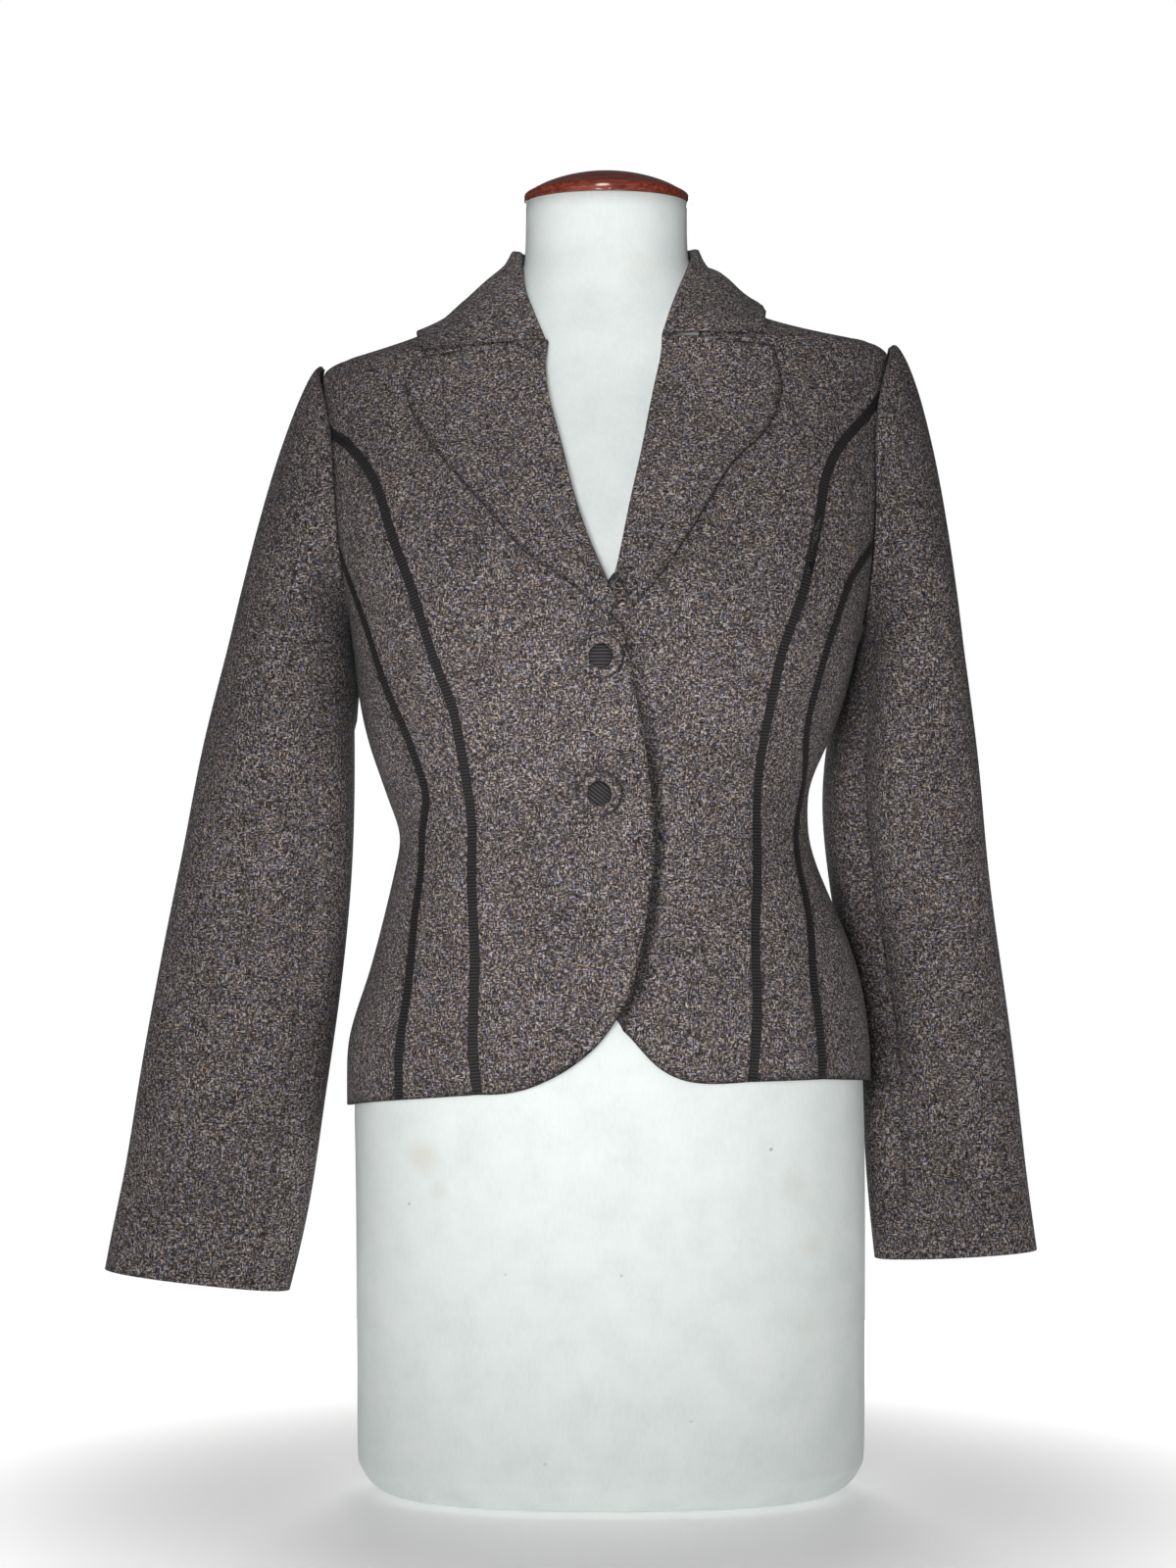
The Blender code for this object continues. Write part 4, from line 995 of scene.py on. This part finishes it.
def mahogany_material():
    """Red-brown wood under a clear coat."""
    made, tree, shader = new_material("mahogany, gloss varnish", {
        "Roughness": 0.42, "Specular IOR Level": 0.15, "IOR": 1.5, "Coat Weight": 0.8,
        "Coat Roughness": 0.07})
    coords = add(tree, "ShaderNodeTexCoord").outputs["Object"]
    place = add(tree, "ShaderNodeMapping", {"Vector": coords, "Scale": [
                1 / (length * MM) for length in (GRAIN_RUN, GRAIN_WIDTH, GRAIN_WIDTH)]})
    grain = add(tree, "ShaderNodeTexNoise", {"Vector": place.outputs["Vector"], "Scale": 0.9,
                "Detail": 5.0, "Roughness": 0.65})
    wood = add(tree, "ShaderNodeValToRGB", {"Fac": grain.outputs["Fac"]})
    set_ramp(wood, ((0.30, "#3c140d"), (0.5, "#803425"), (0.68, "#a4503a")))
    tree.links.new(wood.outputs["Color"], shader.inputs["Base Color"])
    return made


mahogany = mahogany_material()
print("made", mahogany.name)

# %% [markdown]
# ## Finishes, riding and replacing
# Every piece now gets its finish, rides on the one body of the part and stands for its solid,
# which is hidden. A table gives the size of the rectangle that each cloth piece is cut from, and
# the flat area of the cut itself.

# %% Hand every piece over
def hand_over(piece, node_name, finish):
    """Gives a piece its finish and its body, and hides the solid that it stands for."""
    piece.data.materials.append(finish)
    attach(piece, "root")
    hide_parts(node_name)


for node_name, piece in cloth.items():
    hand_over(piece, node_name, tweed)
for node_name, piece in ribbons.items():
    hand_over(piece, node_name, ribbon_grosgrain)
for place, ribbed in (("upper", level_grosgrain), ("lower", slanting_grosgrain)):
    hand_over(buttons["button_%s_rim" % place], "button_%s_rim" % place, tweed)
    hand_over(buttons["button_%s_face" % place], "button_%s_face" % place, ribbed)
hand_over(form, "form_torso", jersey)
hand_over(cap, "neck_cap", mahogany)
bpy.data.objects.remove(bed)

# %% [markdown]
# The cuts come from the pieces themselves: length and width over the surface, rounded to the
# next few millimetres as a cutter would. Curved cuts fill only part of their rectangle.

CUTS = {
    "front": (0.165, 0.530, 0.0645),
    "front_side": (0.070, 0.430, 0.0194),
    "side": (0.180, 0.370, 0.0561),
    "back": (0.210, 0.530, 0.0883),
    "lapel": (0.125, 0.200, 0.0134),
    "collar": (0.110, 0.430, 0.0317),
    "sleeve_top": (0.220, 0.640, 0.1063),
    "sleeve_under": (0.150, 0.500, 0.0557),
    "ribbon_front": (0.0065, 0.485, 0.0031),
    "ribbon_side": (0.0065, 0.385, 0.0025),
}


def cut_of(node_name):
    """The cut that the right and the left piece share."""
    return CUTS[node_name.replace("_right", "").replace("_left", "")]


for node_name, piece in {**cloth, **ribbons}.items():
    width, length, area = cut_of(node_name)
print("sheets declared:", len(cloth) + len(ribbons))

# %% [markdown]
# ## Floor and light
# The photograph is a cut-out on white, lit softly from the front. The floor gives the same white
# with a painted glow: a round pale sheet whose emission grows towards its edge, though no lamp lights
# it. The glow is weak under the form, which keeps its dark lower edge. A wall would hide the object
# from behind, so there is none, and the white comes from the world instead.

# %% Round floor
FLOOR_RADIUS, FLOOR_SIDES, FLOOR_DROP = 0.8, 96, 0.5 * MM
# Strength of the floor's painted glow in the middle and at the edge, and where it rises between them
GLOW_MIDDLE, GLOW_EDGE = 0.25, 1.05
GLOW_FROM, GLOW_FULL = 0.2, 0.62


def painted_glow_floor():
    """White sheet with a painted glow that grows the further out it is."""
    made, tree, shader = new_material("floor sheet, painted glow", {
        "Base Color": colour("#f4f4f3"), "Roughness": 0.95, "Emission Color": colour("#ffffff")})
    coords = add(tree, "ShaderNodeTexCoord").outputs["Object"]
    from_middle = add(tree, "ShaderNodeVectorMath", {0: coords}, operation="LENGTH")
    glowing = add(tree, "ShaderNodeMapRange", {"Value": from_middle.outputs["Value"],
                  "From Min": GLOW_FROM, "From Max": GLOW_FULL, "To Min": GLOW_MIDDLE,
                  "To Max": GLOW_EDGE}, interpolation_type="SMOOTHSTEP")
    tree.links.new(glowing.outputs["Result"], shader.inputs["Emission Strength"])
    return made


bpy.ops.object.select_all(action="DESELECT")
bpy.ops.mesh.primitive_circle_add(vertices=FLOOR_SIDES, radius=FLOOR_RADIUS, fill_type="NGON",
                                  location=(0, 0, -FLOOR_DROP))
floor = bpy.context.object
floor.name = "floor"
bpy.ops.object.transform_apply(location=True, rotation=False, scale=False)
floor.data.materials.append(painted_glow_floor())
print("floor radius in m:", FLOOR_RADIUS)

# %% [markdown]
# Three soft lights stand above each other in front, each behind a grid that narrows its beam, so the
# middle of the figure is bright and the sleeves fall off into shade. Two weak ones fill from the
# sides, and one lights the back.

# %% Lights
# Name, place, aim, width, height, power in watts, spread of the beam in degrees
LIGHTS = (
    ("key upper", (-0.10, -1.15, 0.92), (0.0, 0.0, 0.90), 0.35, 0.35, 0.36, 32),
    ("key middle", (-0.13, -1.15, 0.54), (0.0, 0.0, 0.51), 0.35, 0.35, 0.55, 46),
    ("key lower", (-0.10, -1.15, 0.24), (-0.01, 0.0, 0.21), 0.35, 0.35, 0.46, 54),
    ("fill left", (-1.3, -1.5, 0.4), (0.0, 0.0, 0.25), 0.9, 0.9, 2.6, 180),
    ("fill right", (1.3, -1.5, 0.3), (0.0, 0.0, 0.15), 0.9, 0.9, 2.4, 180),
    ("back", (0.0, 1.9, 0.8), (0.0, 0.0, 0.5), 0.9, 0.9, 20, 180),
)
for name, place, aim, width, height, power, spread in LIGHTS:
    bpy.ops.object.light_add(type="AREA", location=place)
    light = bpy.context.object
    light.name = name
    light.visible_camera = False
    light.data.shape = "RECTANGLE"
    light.data.size, light.data.size_y = width, height
    light.data.energy = power
    light.data.spread = math.radians(spread)
    light.rotation_euler = (Vector(aim) - Vector(place)).to_track_quat("-Z", "Y").to_euler()
print("lights:", len(LIGHTS))

# %% [markdown]
# The world is plain white to look at, but it lights the object only weakly, as distant white walls
# would. The Standard view transform leaves that white as it is.

# %% World
WORLD_LIGHT, WORLD_WHITE = 0.08, 1.0
world = bpy.data.worlds.new("studio")
world.use_nodes = True
glow = world.node_tree.nodes["Background"]
glow.inputs["Color"].default_value = colour("#ffffff")
looked_at = add(world.node_tree, "ShaderNodeLightPath").outputs["Is Camera Ray"]
strength = add(world.node_tree, "ShaderNodeMapRange", {"Value": looked_at, "To Min": WORLD_LIGHT,
               "To Max": WORLD_WHITE})
world.node_tree.links.new(strength.outputs["Result"], glow.inputs["Strength"])
bpy.context.scene.world = world
bpy.context.scene.view_settings.view_transform = "Standard"
print("world:", world.name)
